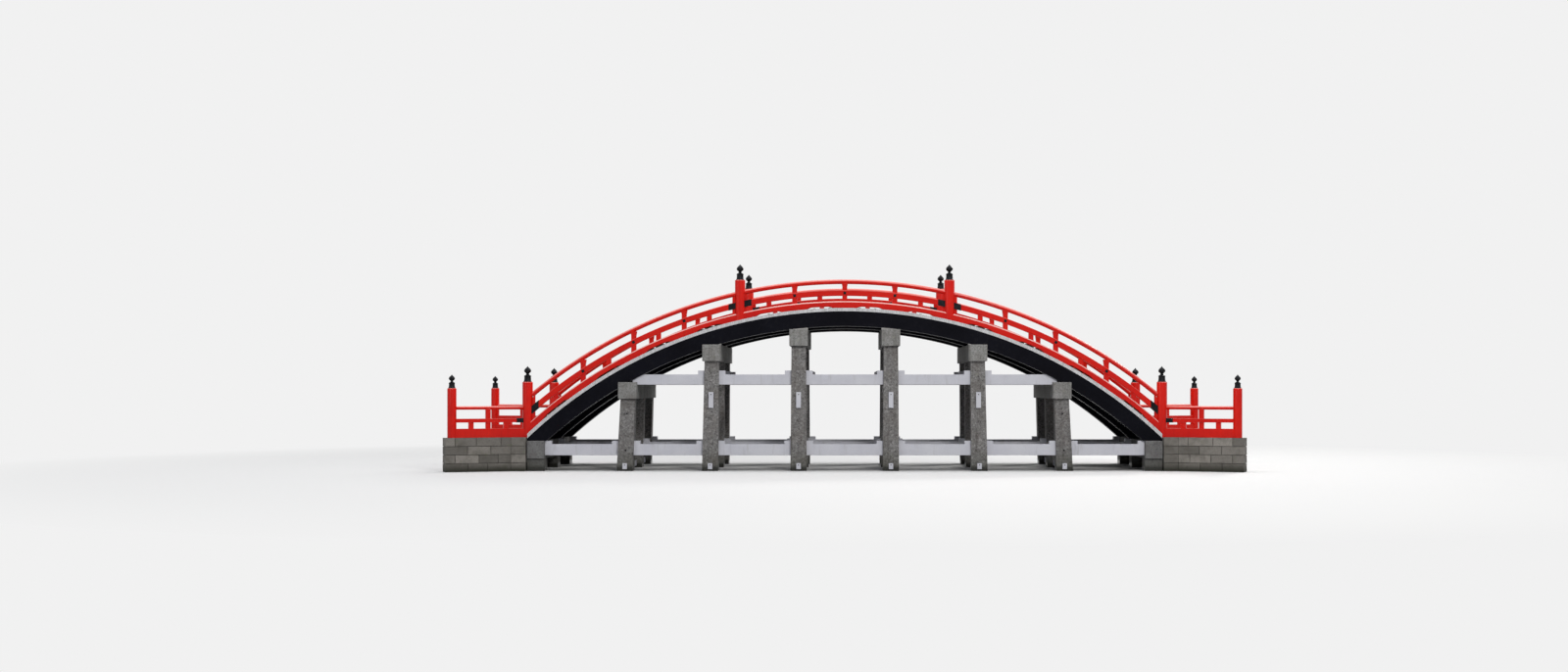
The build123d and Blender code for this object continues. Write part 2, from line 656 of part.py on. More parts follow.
def sleeves():
    """Metal sleeves round the middle rails where they meet the newels."""
    straight = wing_sleeve() - upright(0, 0, NEWEL_DIAMETER / 2 + SEAT_GAP, 0, BASE_NEWEL_TOP)
    pieces = []
    for side in SIDES.values():
        y = side * ROW_SPACING
        cutters = newel_cutters(y)
        pieces += [cut_by(arch_sleeve(x, way, y), cutters) for x, way in newel_sides()]
        pieces += [wing_place(end, side) * straight for end in ENDS.values()]
    save("rail_sleeves", pieces)


def onion_cap(width, height, z0):
    """Metal cap with flats round it: a drum that narrows upward, a neck, and a pointed bulb."""
    profile = [(width / 2 * share, z0 + height * rise) for share, rise in zip(CAP_RADII, CAP_RISES)]
    return flat_sided(profile, z0 + height, CAP_FLATS)


def newels():
    caps = []
    for name, side in SIDES.items():
        y = side * ROW_SPACING
        bodies = []
        for x in all_newel_places():
            base = abs(x) == NEWEL_PLACES[1]
            top = BASE_NEWEL_TOP if base else arc_height(GIRDER_TOP_RADIUS, x) + NEWEL_RISE
            body = upright(x, y, NEWEL_DIAMETER / 2, BANK_LEVEL, top)
            end = math.copysign(1, x)
            stop = end * (GIRDER_END + ABUTMENT_JOINT / 2) if base else x + end * NEWEL_DIAMETER
            x0, x1 = sorted((x - end * NEWEL_DIAMETER, stop))
            y0, y1 = y - NEWEL_DIAMETER, y + NEWEL_DIAMETER
            bodies.append(body - under_arc(DECK_TOP_RADIUS + SEAT_GAP, x0, x1, y0, y1))
            caps.append(Pos(x, y, 0) * onion_cap(NEWEL_CAP_WIDTH, NEWEL_CAP_HEIGHT, top))
        for end in ENDS.values():
            place = wing_place(end, side) * Pos(WING_LENGTH, 0, 0)
            bodies.append(place * upright(0, 0, WING_NEWEL_DIAMETER / 2, BANK_LEVEL, WING_NEWEL_TOP))
            caps.append(place * onion_cap(WING_CAP_WIDTH, WING_CAP_HEIGHT, WING_NEWEL_TOP))
        save(f"newels_{name}", bodies)
    save("newel_caps", caps)


def wing_railing():
    """Wing railing drawn along X from its base newel's middle: sill, struts, post and rails."""
    cutters = [
        upright(0, 0, NEWEL_DIAMETER / 2 + SEAT_GAP, 0, BASE_NEWEL_TOP),
        upright(WING_LENGTH, 0, WING_NEWEL_DIAMETER / 2 + SEAT_GAP, 0, BASE_NEWEL_TOP),
    ]
    rail_bottom = WING_MIDDLE_TOP + WING_UPPER_OPENING
    rail_middle = rail_bottom + WING_TOP_RAIL_DIAMETER / 2

    def bar(width, z0, z1):
        return cut_by(block(0, WING_LENGTH, -width / 2, width / 2, z0, z1), cutters)

    def stub(x, thickness, z0, z1):
        return block(x - POST_WIDTH / 2, x + POST_WIDTH / 2, -thickness / 2, thickness / 2, z0, z1)

    def rail(radius):
        start = Plane(origin=(0, 0, rail_middle), z_dir=(1, 0, 0))
        return extrude(start * rail_section(radius), amount=WING_LENGTH)

    groove = rail(WING_TOP_RAIL_DIAMETER / 2 + SEAT_GAP)
    pieces = [
        bar(WING_SILL_WIDTH, BANK_LEVEL, WING_SILL_TOP),
        bar(WING_MIDDLE_WIDTH, WING_MIDDLE_BOTTOM, WING_MIDDLE_TOP),
        cut_by(rail(WING_TOP_RAIL_DIAMETER / 2), cutters),
    ]
    for x in (*WING_STRUT_PLACES, WING_POST_PLACE):
        pieces.append(stub(x, WING_MIDDLE_WIDTH - 2 * BEARING_BLOCK_FLARE, WING_SILL_TOP, WING_MIDDLE_BOTTOM))
    upper = stub(WING_POST_PLACE, WING_TOP_RAIL_DIAMETER, WING_MIDDLE_TOP, rail_bottom + BEARING_BLOCK_LAP)
    pieces.append(upper - groove)
    return pieces


def wings():
    pieces = wing_railing()
    for end_name, end in ENDS.items():
        for side_name, side in SIDES.items():
            place = wing_place(end, side)
            save(f"wing_railing_{end_name}_{side_name}", [place * piece for piece in pieces])


stone_bents()
cap_beams()
ties()
girders()
deck()
walkway()
abutments()
for side_name, side_sign in SIDES.items():
    railing(side_name, side_sign)
sleeves()
newels()
wings()
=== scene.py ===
import math
import random

import bmesh
import bpy
from mathutils import Matrix, Vector, noise

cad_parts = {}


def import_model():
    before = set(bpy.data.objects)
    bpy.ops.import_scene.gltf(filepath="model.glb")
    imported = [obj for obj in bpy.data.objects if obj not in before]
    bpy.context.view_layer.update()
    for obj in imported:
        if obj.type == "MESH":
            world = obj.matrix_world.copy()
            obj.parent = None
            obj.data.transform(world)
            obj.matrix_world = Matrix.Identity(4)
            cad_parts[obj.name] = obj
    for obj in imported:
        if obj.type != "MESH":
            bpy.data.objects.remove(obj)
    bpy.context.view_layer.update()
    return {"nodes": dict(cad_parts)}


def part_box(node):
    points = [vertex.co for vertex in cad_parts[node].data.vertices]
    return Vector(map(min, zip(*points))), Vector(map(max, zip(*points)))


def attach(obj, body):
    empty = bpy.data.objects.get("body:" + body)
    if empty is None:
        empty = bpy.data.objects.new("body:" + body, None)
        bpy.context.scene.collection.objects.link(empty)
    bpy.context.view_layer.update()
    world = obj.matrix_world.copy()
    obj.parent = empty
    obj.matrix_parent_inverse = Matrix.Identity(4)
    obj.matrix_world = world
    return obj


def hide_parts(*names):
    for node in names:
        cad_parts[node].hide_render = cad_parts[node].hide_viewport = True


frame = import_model()

# The arch, in metres: every long timber follows a circle about one centre
GIRDER_TOP_RADIUS = 14.46
DECK_THICKNESS = 0.108
DECK_TOP_RADIUS = GIRDER_TOP_RADIUS + DECK_THICKNESS
MIDDLE_RAIL_RADIUS = 15.039
TOP_RAIL_RADIUS = 15.3965
ARC_CENTRE_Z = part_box("girder_front")[1].z - GIRDER_TOP_RADIUS

# Girders: length of the planks whose joints show
GIRDER_PLANK = 1.86

# The two railings stand on these sides, and the bridge has these ends
ROW = 2.6
SIDES = ((-1, "front"), (1, "back"))
ENDS = ((-1, "west"), (1, "east"))

# Deck boards: length along the arch, joints, play of their ends and tops, and gap under them
DECK_BOARD = 0.0575
BOARD_JOINT = 0.0018
BOARD_END_PLAY = 0.004
BOARD_TOP_PLAY = 0.003
SEAT = 0.001

# Steps: the first tread's uphill edge, run, joint and thickness of the top boards
STEP_START = 3.52
STEP_RUN = 0.31
STEP_JOINT = 0.008
STEP_COUNT = 20
STEP_THICKNESS = 0.034
STEP_END_PLAY = 0.01
NOSING = 0.012
HAIRLINE = 0.002

# Masonry: courses and blocks, the play of upright joints as a share of a block, and the stones' relief
COURSES = 4
STONE_LENGTH = 0.62
MASONRY_JOINT = 0.012
MASONRY_PLAY = 0.09
STONE_RELIEF = 0.012
RELIEF_SCALE = 9.0
CORE_INSET = 0.035

# Wing railings and their footings
WING_ANGLE = math.radians(22.0)
WING_LENGTH = 2.37
FOOTING_WIDTH = 0.5

# Sills and the drains under them
SILL_HEIGHT = 0.216
SILL_WIDTH = 0.24
SILL_CHAMFER = 0.034
SILL_SECTION_STEP = 0.03
SILL_GAP = 0.0005
SILL_INLET_SHARE = 0.6
DRAIN_PLACES = (0.785, 2.39, 4.27, 5.87, 7.44, 9.1)
DRAIN_REACH = 0.45
DRAIN_FLAT = 0.25
DRAIN_HEIGHT = 0.052

# Top and middle rails, plates at the posts, and the sleeves' nails
TOP_RAIL_THICKNESS = 0.145
TOP_RAIL_INLET = 0.02
MIDDLE_RAIL_WIDTH = 0.17
WING_MIDDLE_RAIL_WIDTH = 0.14
WING_MIDDLE_RAIL_HEIGHT = 1.59
POST_PLACES = (0.0, 1.58, 5.06, 6.65, 8.245)
PLATE_SIZE = 0.088
PLATE_HEIGHT = 0.01
SLEEVE_LENGTH = 0.2
SLEEVE_WALL = 0.0083
NAIL_PLACES = (-0.074, 0.074)
NAIL_ROWS = (-0.05, 0.05)
NAIL_RADIUS = 0.011
NAIL_RISE = 0.55 * NAIL_RADIUS

# Newels and their caps
CROWN_NEWEL_X = 3.3
BASE_NEWEL_X = 10.0
NEWEL_LINE = (-BASE_NEWEL_X, -CROWN_NEWEL_X, CROWN_NEWEL_X, BASE_NEWEL_X)
NEWEL_RADIUS = 0.1625
CROWN_NEWEL_RISE = 1.372
BASE_NEWEL_RISE = 1.74
WING_NEWEL_RADIUS = 0.14
WING_NEWEL_RISE = 1.54
NEWEL_SHOULDER = 0.022
SHOULDER_STEPS = 5
CAP_HEIGHT = 0.5
WING_CAP_SHARE = 0.86

# Stone: dark discs for the painted shade in the holes at the ends of the cross ties and in the sockets of
# the outer pillars
UPPER_TIE_ENDS = (1.45, 4.198)
LOWER_TIE_ENDS = (1.45, 4.228, 6.904)
UPPER_HOLE_HEIGHT = 2.405
LOWER_HOLE_HEIGHT = 0.19
HOLE_DISC_RADIUS = 0.017
HOLE_DISC_RISE = 0.003
SOCKETS = ((6.839, 2.831, 1.8), (6.884, 2.846, 0.65))
SOCKET_RADIUS = 0.028

# Stage: the floor, and how far from mid-span it fades into the background
BACKDROP = (0.88, 0.88, 0.88, 1.0)
FLOOR_REACH = 400.0
FLOOR_DEPTH = -0.001
FADE_START = 13.5
FADE_END = 30.0

# Camera, from the photograph: frame size, horizon row and the column of mid-span in its pixels,
# then distance and height in metres, and lens and sensor in millimetres
FRAME_WIDTH = 1600
FRAME_HEIGHT = 686
HORIZON_ROW = 396
MIDDLE_COLUMN = 862
CAMERA_DISTANCE = 57.0
CAMERA_HEIGHT = 2.61
LENS = 41.5
SENSOR = 36.0

rng = random.Random(7)


# Places on the arch
def arc_height(radius, x):
    """Height of a circle about the arch's centre at x."""
    return ARC_CENTRE_Z + math.sqrt(radius**2 - x**2)


def arc_point(radius, angle, y=0.0):
    """Point on a circle about the arch's centre; the angle is from the crown, positive to the east."""
    return Vector((radius * math.sin(angle), y, ARC_CENTRE_Z + radius * math.cos(angle)))


# Materials
def rgb(red, green, blue):
    return (red, green, blue, 1.0)


def add_node(tree, kind, inputs=(), **settings):
    """Makes a node; each input is a value, or the socket that feeds it."""
    node = tree.nodes.new(kind)
    for key, value in settings.items():
        setattr(node, key, value)
    for key, value in dict(inputs).items():
        if isinstance(value, bpy.types.NodeSocket):
            tree.links.new(value, node.inputs[key])
        else:
            node.inputs[key].default_value = value
    return node


class Surface:
    """A material's nodes round one shader; constants are set on the shader's own sockets."""

    def __init__(self, name, **sockets):
        self.material = bpy.data.materials.new(name)
        self.material.use_nodes = True
        self.tree = self.material.node_tree
        self.shader = next(n for n in self.tree.nodes if n.type == "BSDF_PRINCIPLED")
        for key, value in sockets.items():
            self.shader.inputs[key.replace("_", " ")].default_value = value

    def add(self, kind, inputs=(), **settings):
        return add_node(self.tree, kind, inputs, **settings)

    def maths(self, operation, first, second=0.0):
        return self.add("ShaderNodeMath", {0: first, 1: second}, operation=operation).outputs[0]

    def product(self, first, second):
        return self.maths("MULTIPLY", first, second)

    def parts(self, vector):
        return self.add("ShaderNodeSeparateXYZ", {0: vector}).outputs

    def place(self):
        return self.add("ShaderNodeTexCoord").outputs["Object"]

    def arc_place(self):
        """Length along the arch, distance across it, and radius, so that grain follows the bend."""
        x, y, z = self.parts(self.place())
        rise = self.maths("SUBTRACT", z, ARC_CENTRE_Z)
        along = self.product(self.maths("ARCTAN2", x, rise), GIRDER_TOP_RADIUS)
        radius = self.maths("SQRT", self.maths("ADD", self.product(x, x), self.product(rise, rise)))
        return self.add("ShaderNodeCombineXYZ", {0: along, 1: y, 2: radius}).outputs[0]

    def normal(self):
        return self.parts(self.add("ShaderNodeNewGeometry").outputs["Normal"])

    def arris(self):
        """Above 0 along the upper arrises of plumb sides, and below 0 along the lower ones."""
        _, across, up = self.normal()
        return self.product(self.maths("ABSOLUTE", across), up)

    def tone(self):
        """The tone that each board or block was given."""
        return self.add("ShaderNodeAttribute", attribute_name="tone").outputs["Fac"]

    def stretched(self, place, scale):
        return self.add("ShaderNodeMapping", {"Vector": place, "Scale": scale}).outputs[0]

    def noise(self, place, scale, detail=4.0, roughness=0.55, distortion=0.0):
        inputs = {"Vector": place, "Scale": scale, "Detail": detail, "Roughness": roughness}
        return self.add("ShaderNodeTexNoise", {**inputs, "Distortion": distortion}).outputs["Fac"]

    def grains(self, place, scale):
        """A random value for each small cell."""
        cells = self.add("ShaderNodeTexVoronoi", {"Vector": place, "Scale": scale}).outputs["Color"]
        return self.add("ShaderNodeSeparateColor", {0: cells}).outputs[0]

    def spread(self, value, low, high, to_low=0.0, to_high=1.0):
        inputs = {0: value, 1: low, 2: high, 3: to_low, 4: to_high}
        return self.add("ShaderNodeMapRange", inputs).outputs[0]

    def blend(self, factor, first, second):
        inputs = {0: factor, 6: first, 7: second}
        return self.add("ShaderNodeMix", inputs, data_type="RGBA").outputs[2]

    def finish(self, colour, roughness=None, height=None, depth=0.002, strength=1.0):
        self.tree.links.new(colour, self.shader.inputs["Base Color"])
        if roughness is not None:
            self.tree.links.new(roughness, self.shader.inputs["Roughness"])
        if height is not None:
            bump = self.add("ShaderNodeBump", {"Height": height, "Distance": depth, "Strength": strength})
            self.tree.links.new(bump.outputs[0], self.shader.inputs["Normal"])
        return self.material


def lacquer(name, grain, painted_arris_highlight=0.25):
    """Glossy vermilion with faint grain, faded and lit with a painted sheen on top faces, and a painted
    highlight along upper arrises.
    """
    look = Surface(name, Coat_Weight=0.25, Coat_Roughness=0.13, Specular_IOR_Level=0.08)
    place = look.arc_place() if grain == "arc" else look.place()
    scale = (0.7, 26.0, 26.0) if grain == "arc" else (26.0, 26.0, 0.9)
    lines = look.noise(look.stretched(place, scale), 1.0, 5.0, 0.6)
    patches = look.noise(place, 1.3, 5.0, 0.6)
    fine = look.noise(place, 14.0, 4.0, 0.6)
    red = look.blend(look.spread(patches, 0.3, 0.7), rgb(0.62, 0.005, 0.002), rgb(0.76, 0.012, 0.004))
    red = look.blend(look.spread(lines, 0.45, 0.75, 0.0, 0.35), red, rgb(0.44, 0.006, 0.003))
    # Top faces are lighter: partly real fading of the lacquer, partly painted sheen of the sky
    up = look.normal()[2]
    faded = look.product(look.spread(up, 0.3, 0.8), look.spread(fine, 0.3, 0.7, 0.35, 0.8))
    red = look.blend(faded, red, rgb(0.88, 0.18, 0.13))
    # Upper arrises are painted pale: a painted highlight, the sky's glint on the lacquer
    red = look.blend(look.spread(look.arris(), 0.2, 0.38, 0.0, painted_arris_highlight), red, rgb(0.95, 0.7, 0.66))
    grime = look.product(look.spread(patches, 0.58, 0.75), look.spread(fine, 0.45, 0.7, 0.0, 0.5))
    red = look.blend(grime, red, rgb(0.2, 0.02, 0.012))
    roughness = look.spread(fine, 0.25, 0.75, 0.28, 0.46)
    return look.finish(red, roughness, look.blend(0.7, fine, lines), 0.0016, 0.5)


def black_lacquer():
    """Black timber with plank joints, dust, and a painted highlight along the lower arrises on the
    haunches.
    """
    look = Surface("black_lacquer", Specular_IOR_Level=0.05)
    place = look.arc_place()
    along = look.parts(place)[0]
    lines = look.noise(look.stretched(place, (0.6, 22.0, 22.0)), 1.0, 5.0, 0.6)
    patches = look.noise(place, 0.9, 5.0, 0.6)
    fine = look.noise(place, 9.0, 5.0, 0.65)
    patchy = look.spread(patches, 0.35, 0.7)
    black = look.blend(patchy, rgb(0.002, 0.002, 0.004), rgb(0.005, 0.0052, 0.0092))
    dust = look.product(look.spread(fine, 0.5, 0.8), look.spread(patches, 0.45, 0.7, 0.1, 0.6))
    black = look.blend(dust, black, rgb(0.022, 0.021, 0.023))
    haunch = look.spread(look.maths("ABSOLUTE", along), 2.5, 6.0, 0.15, 0.75)
    # Lower arrises are painted pale, most on the haunches: a painted highlight
    painted_edge_highlight = look.product(look.spread(look.arris(), -0.2, -0.34), haunch)
    black = look.blend(painted_edge_highlight, black, rgb(0.27, 0.27, 0.285))
    planks = look.maths("FRACT", look.maths("DIVIDE", along, GIRDER_PLANK))
    seam = look.spread(look.maths("ABSOLUTE", look.maths("SUBTRACT", planks, 0.5)), 0.0, 0.0035)
    black = look.blend(seam, rgb(0.002, 0.002, 0.003), black)
    height = look.maths("ADD", look.product(lines, 0.4), seam)
    return look.finish(black, look.spread(fine, 0.3, 0.75, 0.3, 0.52), height, 0.003, 0.5)


def board_wood(name, dark, light, ends=None):
    """Weathered boards that lie across the bridge; painted ends where a colour is given."""
    look = Surface(name, Specular_IOR_Level=0.3)
    place = look.place()
    tone = look.tone()
    lines = look.noise(look.stretched(place, (30.0, 1.1, 30.0)), 1.0, 6.0, 0.65, 0.4)
    fine = look.noise(look.stretched(place, (110.0, 4.0, 110.0)), 1.0, 3.0)
    patches = look.noise(place, 1.7, 5.0, 0.6)
    wood = look.blend(look.spread(lines, 0.3, 0.7), rgb(*dark), rgb(*light))
    wood = look.blend(look.spread(tone, 0.0, 1.0, 0.0, 0.45), wood, rgb(*dark))
    wood = look.blend(look.spread(patches, 0.5, 0.75, 0.0, 0.55), wood, rgb(0.17, 0.165, 0.15))
    height = look.maths("ADD", look.product(lines, 0.6), look.product(fine, 0.4))
    if ends:
        stains = look.noise(look.stretched(place, (5.0, 5.0, 2.0)), 2.0, 5.0, 0.7)
        paint = look.blend(look.spread(stains, 0.46, 0.74, 0.0, 0.7), rgb(*ends), rgb(0.3, 0.3, 0.29))
        paint = look.blend(look.spread(tone, 0.0, 1.0, 0.0, 0.28), paint, rgb(0.4, 0.4, 0.4))
        across = look.maths("ABSOLUTE", look.normal()[1])
        wood = look.blend(look.spread(across, 0.55, 0.7), wood, paint)
    return look.finish(wood, look.spread(patches, 0.3, 0.7, 0.6, 0.85), height, 0.003, 0.7)


def granite(name, dark, light, lichen, mottling, wet=True):
    """Speckled squared granite with stains and lichen, painted shade towards the banks, and wet at the
    water line.
    """
    look = Surface(name, Specular_IOR_Level=0.35)
    place = look.place()
    grains = look.grains(place, 105.0)
    specks = look.noise(place, 62.0, 4.0, 0.75)
    blotches = look.noise(place, 16.0, 5.0, 0.75)
    patches = look.noise(place, 2.1, 6.0, 0.62)
    runs = look.noise(look.stretched(place, (9.0, 9.0, 0.55)), 1.0, 5.0, 0.6)
    pits = look.noise(place, 24.0, 5.0, 0.7)
    spots = look.noise(place, 6.5, 6.0, 0.7)
    stone = look.blend(look.spread(grains, 0.1, 0.9), rgb(*dark), rgb(*light))
    stone = look.blend(look.spread(specks, 0.57, 0.66, 0.0, 0.85), stone, rgb(0.03, 0.028, 0.027))
    stone = look.blend(look.spread(specks, 0.33, 0.42, 0.4, 0.0), stone, rgb(0.42, 0.41, 0.39))
    dark_blotches = look.spread(blotches, 0.53, 0.63, 0.0, mottling)
    stone = look.blend(dark_blotches, stone, rgb(0.045, 0.041, 0.039))
    pale_blotches = look.spread(blotches, 0.37, 0.46, 0.75 * mottling, 0.0)
    stone = look.blend(pale_blotches, stone, rgb(0.46, 0.45, 0.44))
    stone = look.blend(look.spread(patches, 0.42, 0.72, 0.0, 0.5), stone, rgb(0.115, 0.095, 0.08))
    stone = look.blend(look.spread(runs, 0.5, 0.74, 0.0, 0.6), stone, rgb(0.06, 0.055, 0.05))
    stone = look.blend(look.spread(spots, 0.6, 0.68, 0.0, 0.5), stone, rgb(*lichen))
    along, _, height = look.parts(place)
    # Painted shade of trees: the stone is darker towards the banks
    shaded = look.spread(look.maths("ABSOLUTE", along), 6.2, 9.2, 0.0, 0.5)
    stone = look.blend(shaded, stone, rgb(0.065, 0.065, 0.072))
    roughness = look.spread(pits, 0.3, 0.7, 0.72, 0.92)
    if wet:
        level = look.maths("ADD", height, look.spread(pits, 0.3, 0.7, -0.02, 0.02))
        dry = look.spread(level, 0.1, 0.2)
        damp = look.spread(level, 0.15, 0.75)
        stone = look.blend(damp, look.blend(0.45, stone, rgb(0.05, 0.055, 0.035)), stone)
        stone = look.blend(dry, rgb(0.018, 0.018, 0.014), stone)
        roughness = look.product(roughness, look.spread(dry, 0.0, 1.0, 0.35, 1.0))
    relief = look.maths("ADD", look.product(pits, 0.75), look.product(specks, 0.25))
    return look.finish(stone, roughness, relief, 0.008, 0.8)


def masonry():
    """Coursed blocks, each of its own tone, stained darker below."""
    look = Surface("masonry", Specular_IOR_Level=0.3)
    place = look.place()
    patches = look.noise(place, 3.0, 6.0, 0.65)
    pits = look.noise(place, 26.0, 5.0, 0.7)
    specks = look.noise(place, 90.0, 3.0, 0.7)
    lichen = look.noise(place, 7.0, 5.0, 0.7)
    stone = look.blend(look.spread(look.tone(), 0.0, 1.0), rgb(0.13, 0.122, 0.11), rgb(0.3, 0.28, 0.255))
    stone = look.blend(look.spread(specks, 0.54, 0.66, 0.0, 0.7), stone, rgb(0.05, 0.047, 0.043))
    stone = look.blend(look.spread(patches, 0.45, 0.72, 0.0, 0.65), stone, rgb(0.085, 0.08, 0.066))
    stone = look.blend(look.spread(lichen, 0.6, 0.7, 0.0, 0.5), stone, rgb(0.16, 0.18, 0.1))
    stone = look.blend(look.spread(look.parts(place)[2], 0.05, 0.3), rgb(0.03, 0.03, 0.022), stone)
    return look.finish(stone, look.spread(pits, 0.3, 0.7, 0.75, 0.95), pits, 0.01, 0.8)


def pale_stone():
    """Pale dressed stone with faint runs and a fine tooth, and painted shade underneath."""
    look = Surface("pale_stone", Specular_IOR_Level=0.4)
    place = look.place()
    fine = look.noise(place, 60.0, 4.0, 0.7)
    patches = look.noise(place, 1.6, 5.0, 0.6)
    runs = look.noise(look.stretched(place, (7.0, 7.0, 0.8)), 1.0, 5.0, 0.65)
    stone = look.blend(look.spread(patches, 0.3, 0.7), rgb(0.575, 0.58, 0.645), rgb(0.65, 0.655, 0.71))
    stone = look.blend(look.spread(fine, 0.55, 0.72, 0.0, 0.3), stone, rgb(0.33, 0.33, 0.35))
    stone = look.blend(look.spread(runs, 0.56, 0.76, 0.0, 0.45), stone, rgb(0.31, 0.3, 0.285))
    # Painted shade: faces that look down are darker
    under = look.spread(look.normal()[2], -0.9, -0.4, 0.55, 0.0)
    stone = look.blend(under, stone, rgb(0.22, 0.215, 0.2))
    return look.finish(stone, look.spread(fine, 0.3, 0.7, 0.5, 0.68), fine, 0.003, 0.5)


def black_metal():
    """Dark cast fittings with a rubbed, slightly green patina."""
    look = Surface("black_metal", Metallic=0.7, Specular_IOR_Level=0.2)
    place = look.place()
    fine = look.noise(place, 34.0, 5.0, 0.65)
    patches = look.noise(place, 7.0, 5.0, 0.6)
    patchy = look.spread(patches, 0.35, 0.7)
    metal = look.blend(patchy, rgb(0.006, 0.006, 0.008), rgb(0.015, 0.016, 0.018))
    metal = look.blend(look.spread(fine, 0.58, 0.75, 0.0, 0.6), metal, rgb(0.026, 0.035, 0.032))
    return look.finish(metal, look.spread(fine, 0.3, 0.7, 0.28, 0.5), fine, 0.0012, 0.5)


def pale_timber():
    """Painted timber, stained and weathered."""
    look = Surface("pale_timber", Specular_IOR_Level=0.35)
    place = look.place()
    lines = look.noise(look.stretched(place, (28.0, 1.2, 28.0)), 1.0, 5.0, 0.6)
    patches = look.noise(place, 3.0, 5.0, 0.6)
    wood = look.blend(look.spread(lines, 0.3, 0.75), rgb(0.46, 0.45, 0.44), rgb(0.3, 0.29, 0.275))
    wood = look.blend(look.spread(patches, 0.5, 0.75, 0.0, 0.6), wood, rgb(0.16, 0.15, 0.135))
    return look.finish(wood, look.spread(patches, 0.3, 0.7, 0.55, 0.75), lines, 0.002, 0.6)


SILL_RED = lacquer("lacquer_sills", "arc", painted_arris_highlight=0.7)
RAIL_RED = lacquer("lacquer_rails", "arc")
POST_RED = lacquer("lacquer_posts", "plumb")
BLACK = black_lacquer()
DECK = board_wood("deck_boards", (0.085, 0.066, 0.048), (0.27, 0.22, 0.17), ends=(0.72, 0.725, 0.75))
TREAD = board_wood("tread_boards", (0.12, 0.088, 0.06), (0.34, 0.265, 0.19))
PILLAR_STONE = granite(
    "granite_pillars",
    dark=(0.15, 0.147, 0.147),
    light=(0.275, 0.268, 0.266),
    lichen=(0.22, 0.22, 0.175),
    mottling=0.85,
)
CAP_STONE = granite(
    "granite_caps",
    dark=(0.22, 0.22, 0.215),
    light=(0.35, 0.352, 0.345),
    lichen=(0.3, 0.31, 0.24),
    mottling=0.5,
    wet=False,
)
MASONRY = masonry()
PALE = pale_stone()
METAL = black_metal()
WEDGE = pale_timber()


# Materials and soft edges for the solids
def sides(*parts):
    """Names of the nodes that both railings have."""
    return [f"{part}_{side}" for part in parts for side in ("front", "back")]


def soften(made, width):
    """Rounds a piece's sharp edges."""
    edge = made.modifiers.new("arrises", "BEVEL")
    edge.width = width
    edge.segments = 2
    edge.limit_method = "ANGLE"
    edge.angle_limit = math.radians(40)
    edge.use_clamp_overlap = True
    edge.harden_normals = True


def dress(nodes, material, bevel=0.0):
    """Gives CAD nodes a material, and soft arrises where a bevel width is given."""
    for name in nodes:
        node = frame["nodes"][name]
        node.data.materials.clear()
        node.data.materials.append(material)
        if bevel:
            # The frame's meshes are open between their faces, where a bevel does nothing
            node.modifiers.new("joined_corners", "WELD").merge_threshold = 0.0001
            soften(node, bevel)


def dress_all():
    """Gives the CAD nodes that stay in view their materials."""
    dress(sides("middle_rail"), RAIL_RED, bevel=0.016)
    dress(sides("posts", "struts"), POST_RED, bevel=0.01)
    dress(sides("wing_railing_west", "wing_railing_east"), POST_RED, bevel=0.013)
    dress(["girder_front", "girder_middle", "girder_back"], BLACK, bevel=0.028)
    dress([f"bent_{n}_pillars" for n in range(1, 7)] + ["end_bent_pillars"], PILLAR_STONE, bevel=0.012)
    dress(["cap_beams"], CAP_STONE, bevel=0.014)
    ties = [f"{level}_{kind}" for level in ("lower", "upper") for kind in ("tie_beams", "cross_ties")]
    dress(ties, PALE, bevel=0.008)
    dress(["bearing_wedges"], WEDGE)
    dress(["rail_sleeves"], METAL, bevel=0.003)
    dress(["crown_cleats"], TREAD, bevel=0.006)


# Shapes that new pieces are made of
def piece(name, mesh_data, material, replaced=(), bevel=0.0):
    """Makes one object from a bmesh that lies in the bridge's own frame."""
    mesh = bpy.data.meshes.new(name)
    mesh_data.to_mesh(mesh)
    mesh_data.free()
    made = bpy.data.objects.new(name, mesh)
    bpy.context.scene.collection.objects.link(made)
    made.data.materials.append(material)
    if bevel:
        soften(made, bevel)
    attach(made, "root")
    if replaced:
        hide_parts(*replaced)
    return made


def finish_smooth(made, degrees=35):
    """Shades a piece smooth, apart from edges that are sharper than an angle."""
    made.data.shade_smooth()
    made.data.set_sharp_from_angle(angle=math.radians(degrees))
    return made


def joined(parts):
    """One bmesh made of several, which are freed."""
    whole = bmesh.new()
    for part in parts:
        mesh = bpy.data.meshes.new("part")
        part.to_mesh(mesh)
        part.free()
        whole.from_mesh(mesh)
        bpy.data.meshes.remove(mesh)
    return whole


def tone_layer(mesh_data):
    """Face layer that holds the tone of each board or block."""
    layers = mesh_data.faces.layers.float
    return layers.get("tone") or layers.new("tone")


def add_hexahedron(mesh_data, corners, tone):
    """Closed box from eight corners: four round the bottom, then the four above them."""
    layer = tone_layer(mesh_data)
    verts = [mesh_data.verts.new(corner) for corner in corners]
    rings = ((3, 2, 1, 0), (4, 5, 6, 7), (0, 1, 5, 4), (1, 2, 6, 5), (2, 3, 7, 6), (3, 0, 4, 7))
    faces = [mesh_data.faces.new([verts[i] for i in ring]) for ring in rings]
    for face in faces:
        face[layer] = tone
    return faces


def box_corners(low, high, turn=Matrix.Identity(4)):
    """Eight corners of a box, turned and moved by a matrix."""
    ring = ((0, 0), (1, 0), (1, 1), (0, 1))
    ends = (low, high)
    return [turn @ Vector((ends[i][0], ends[j][1], z)) for z in (low[2], high[2]) for i, j in ring]


def facing(origin, outward, along):
    """Matrix whose Z points outward and whose X runs along a direction."""
    z = Vector(outward).normalized()
    y = z.cross(Vector(along)).normalized()
    x = y.cross(z)
    turn = Matrix((x, y, z)).transposed().to_4x4()
    return Matrix.Translation(origin) @ turn


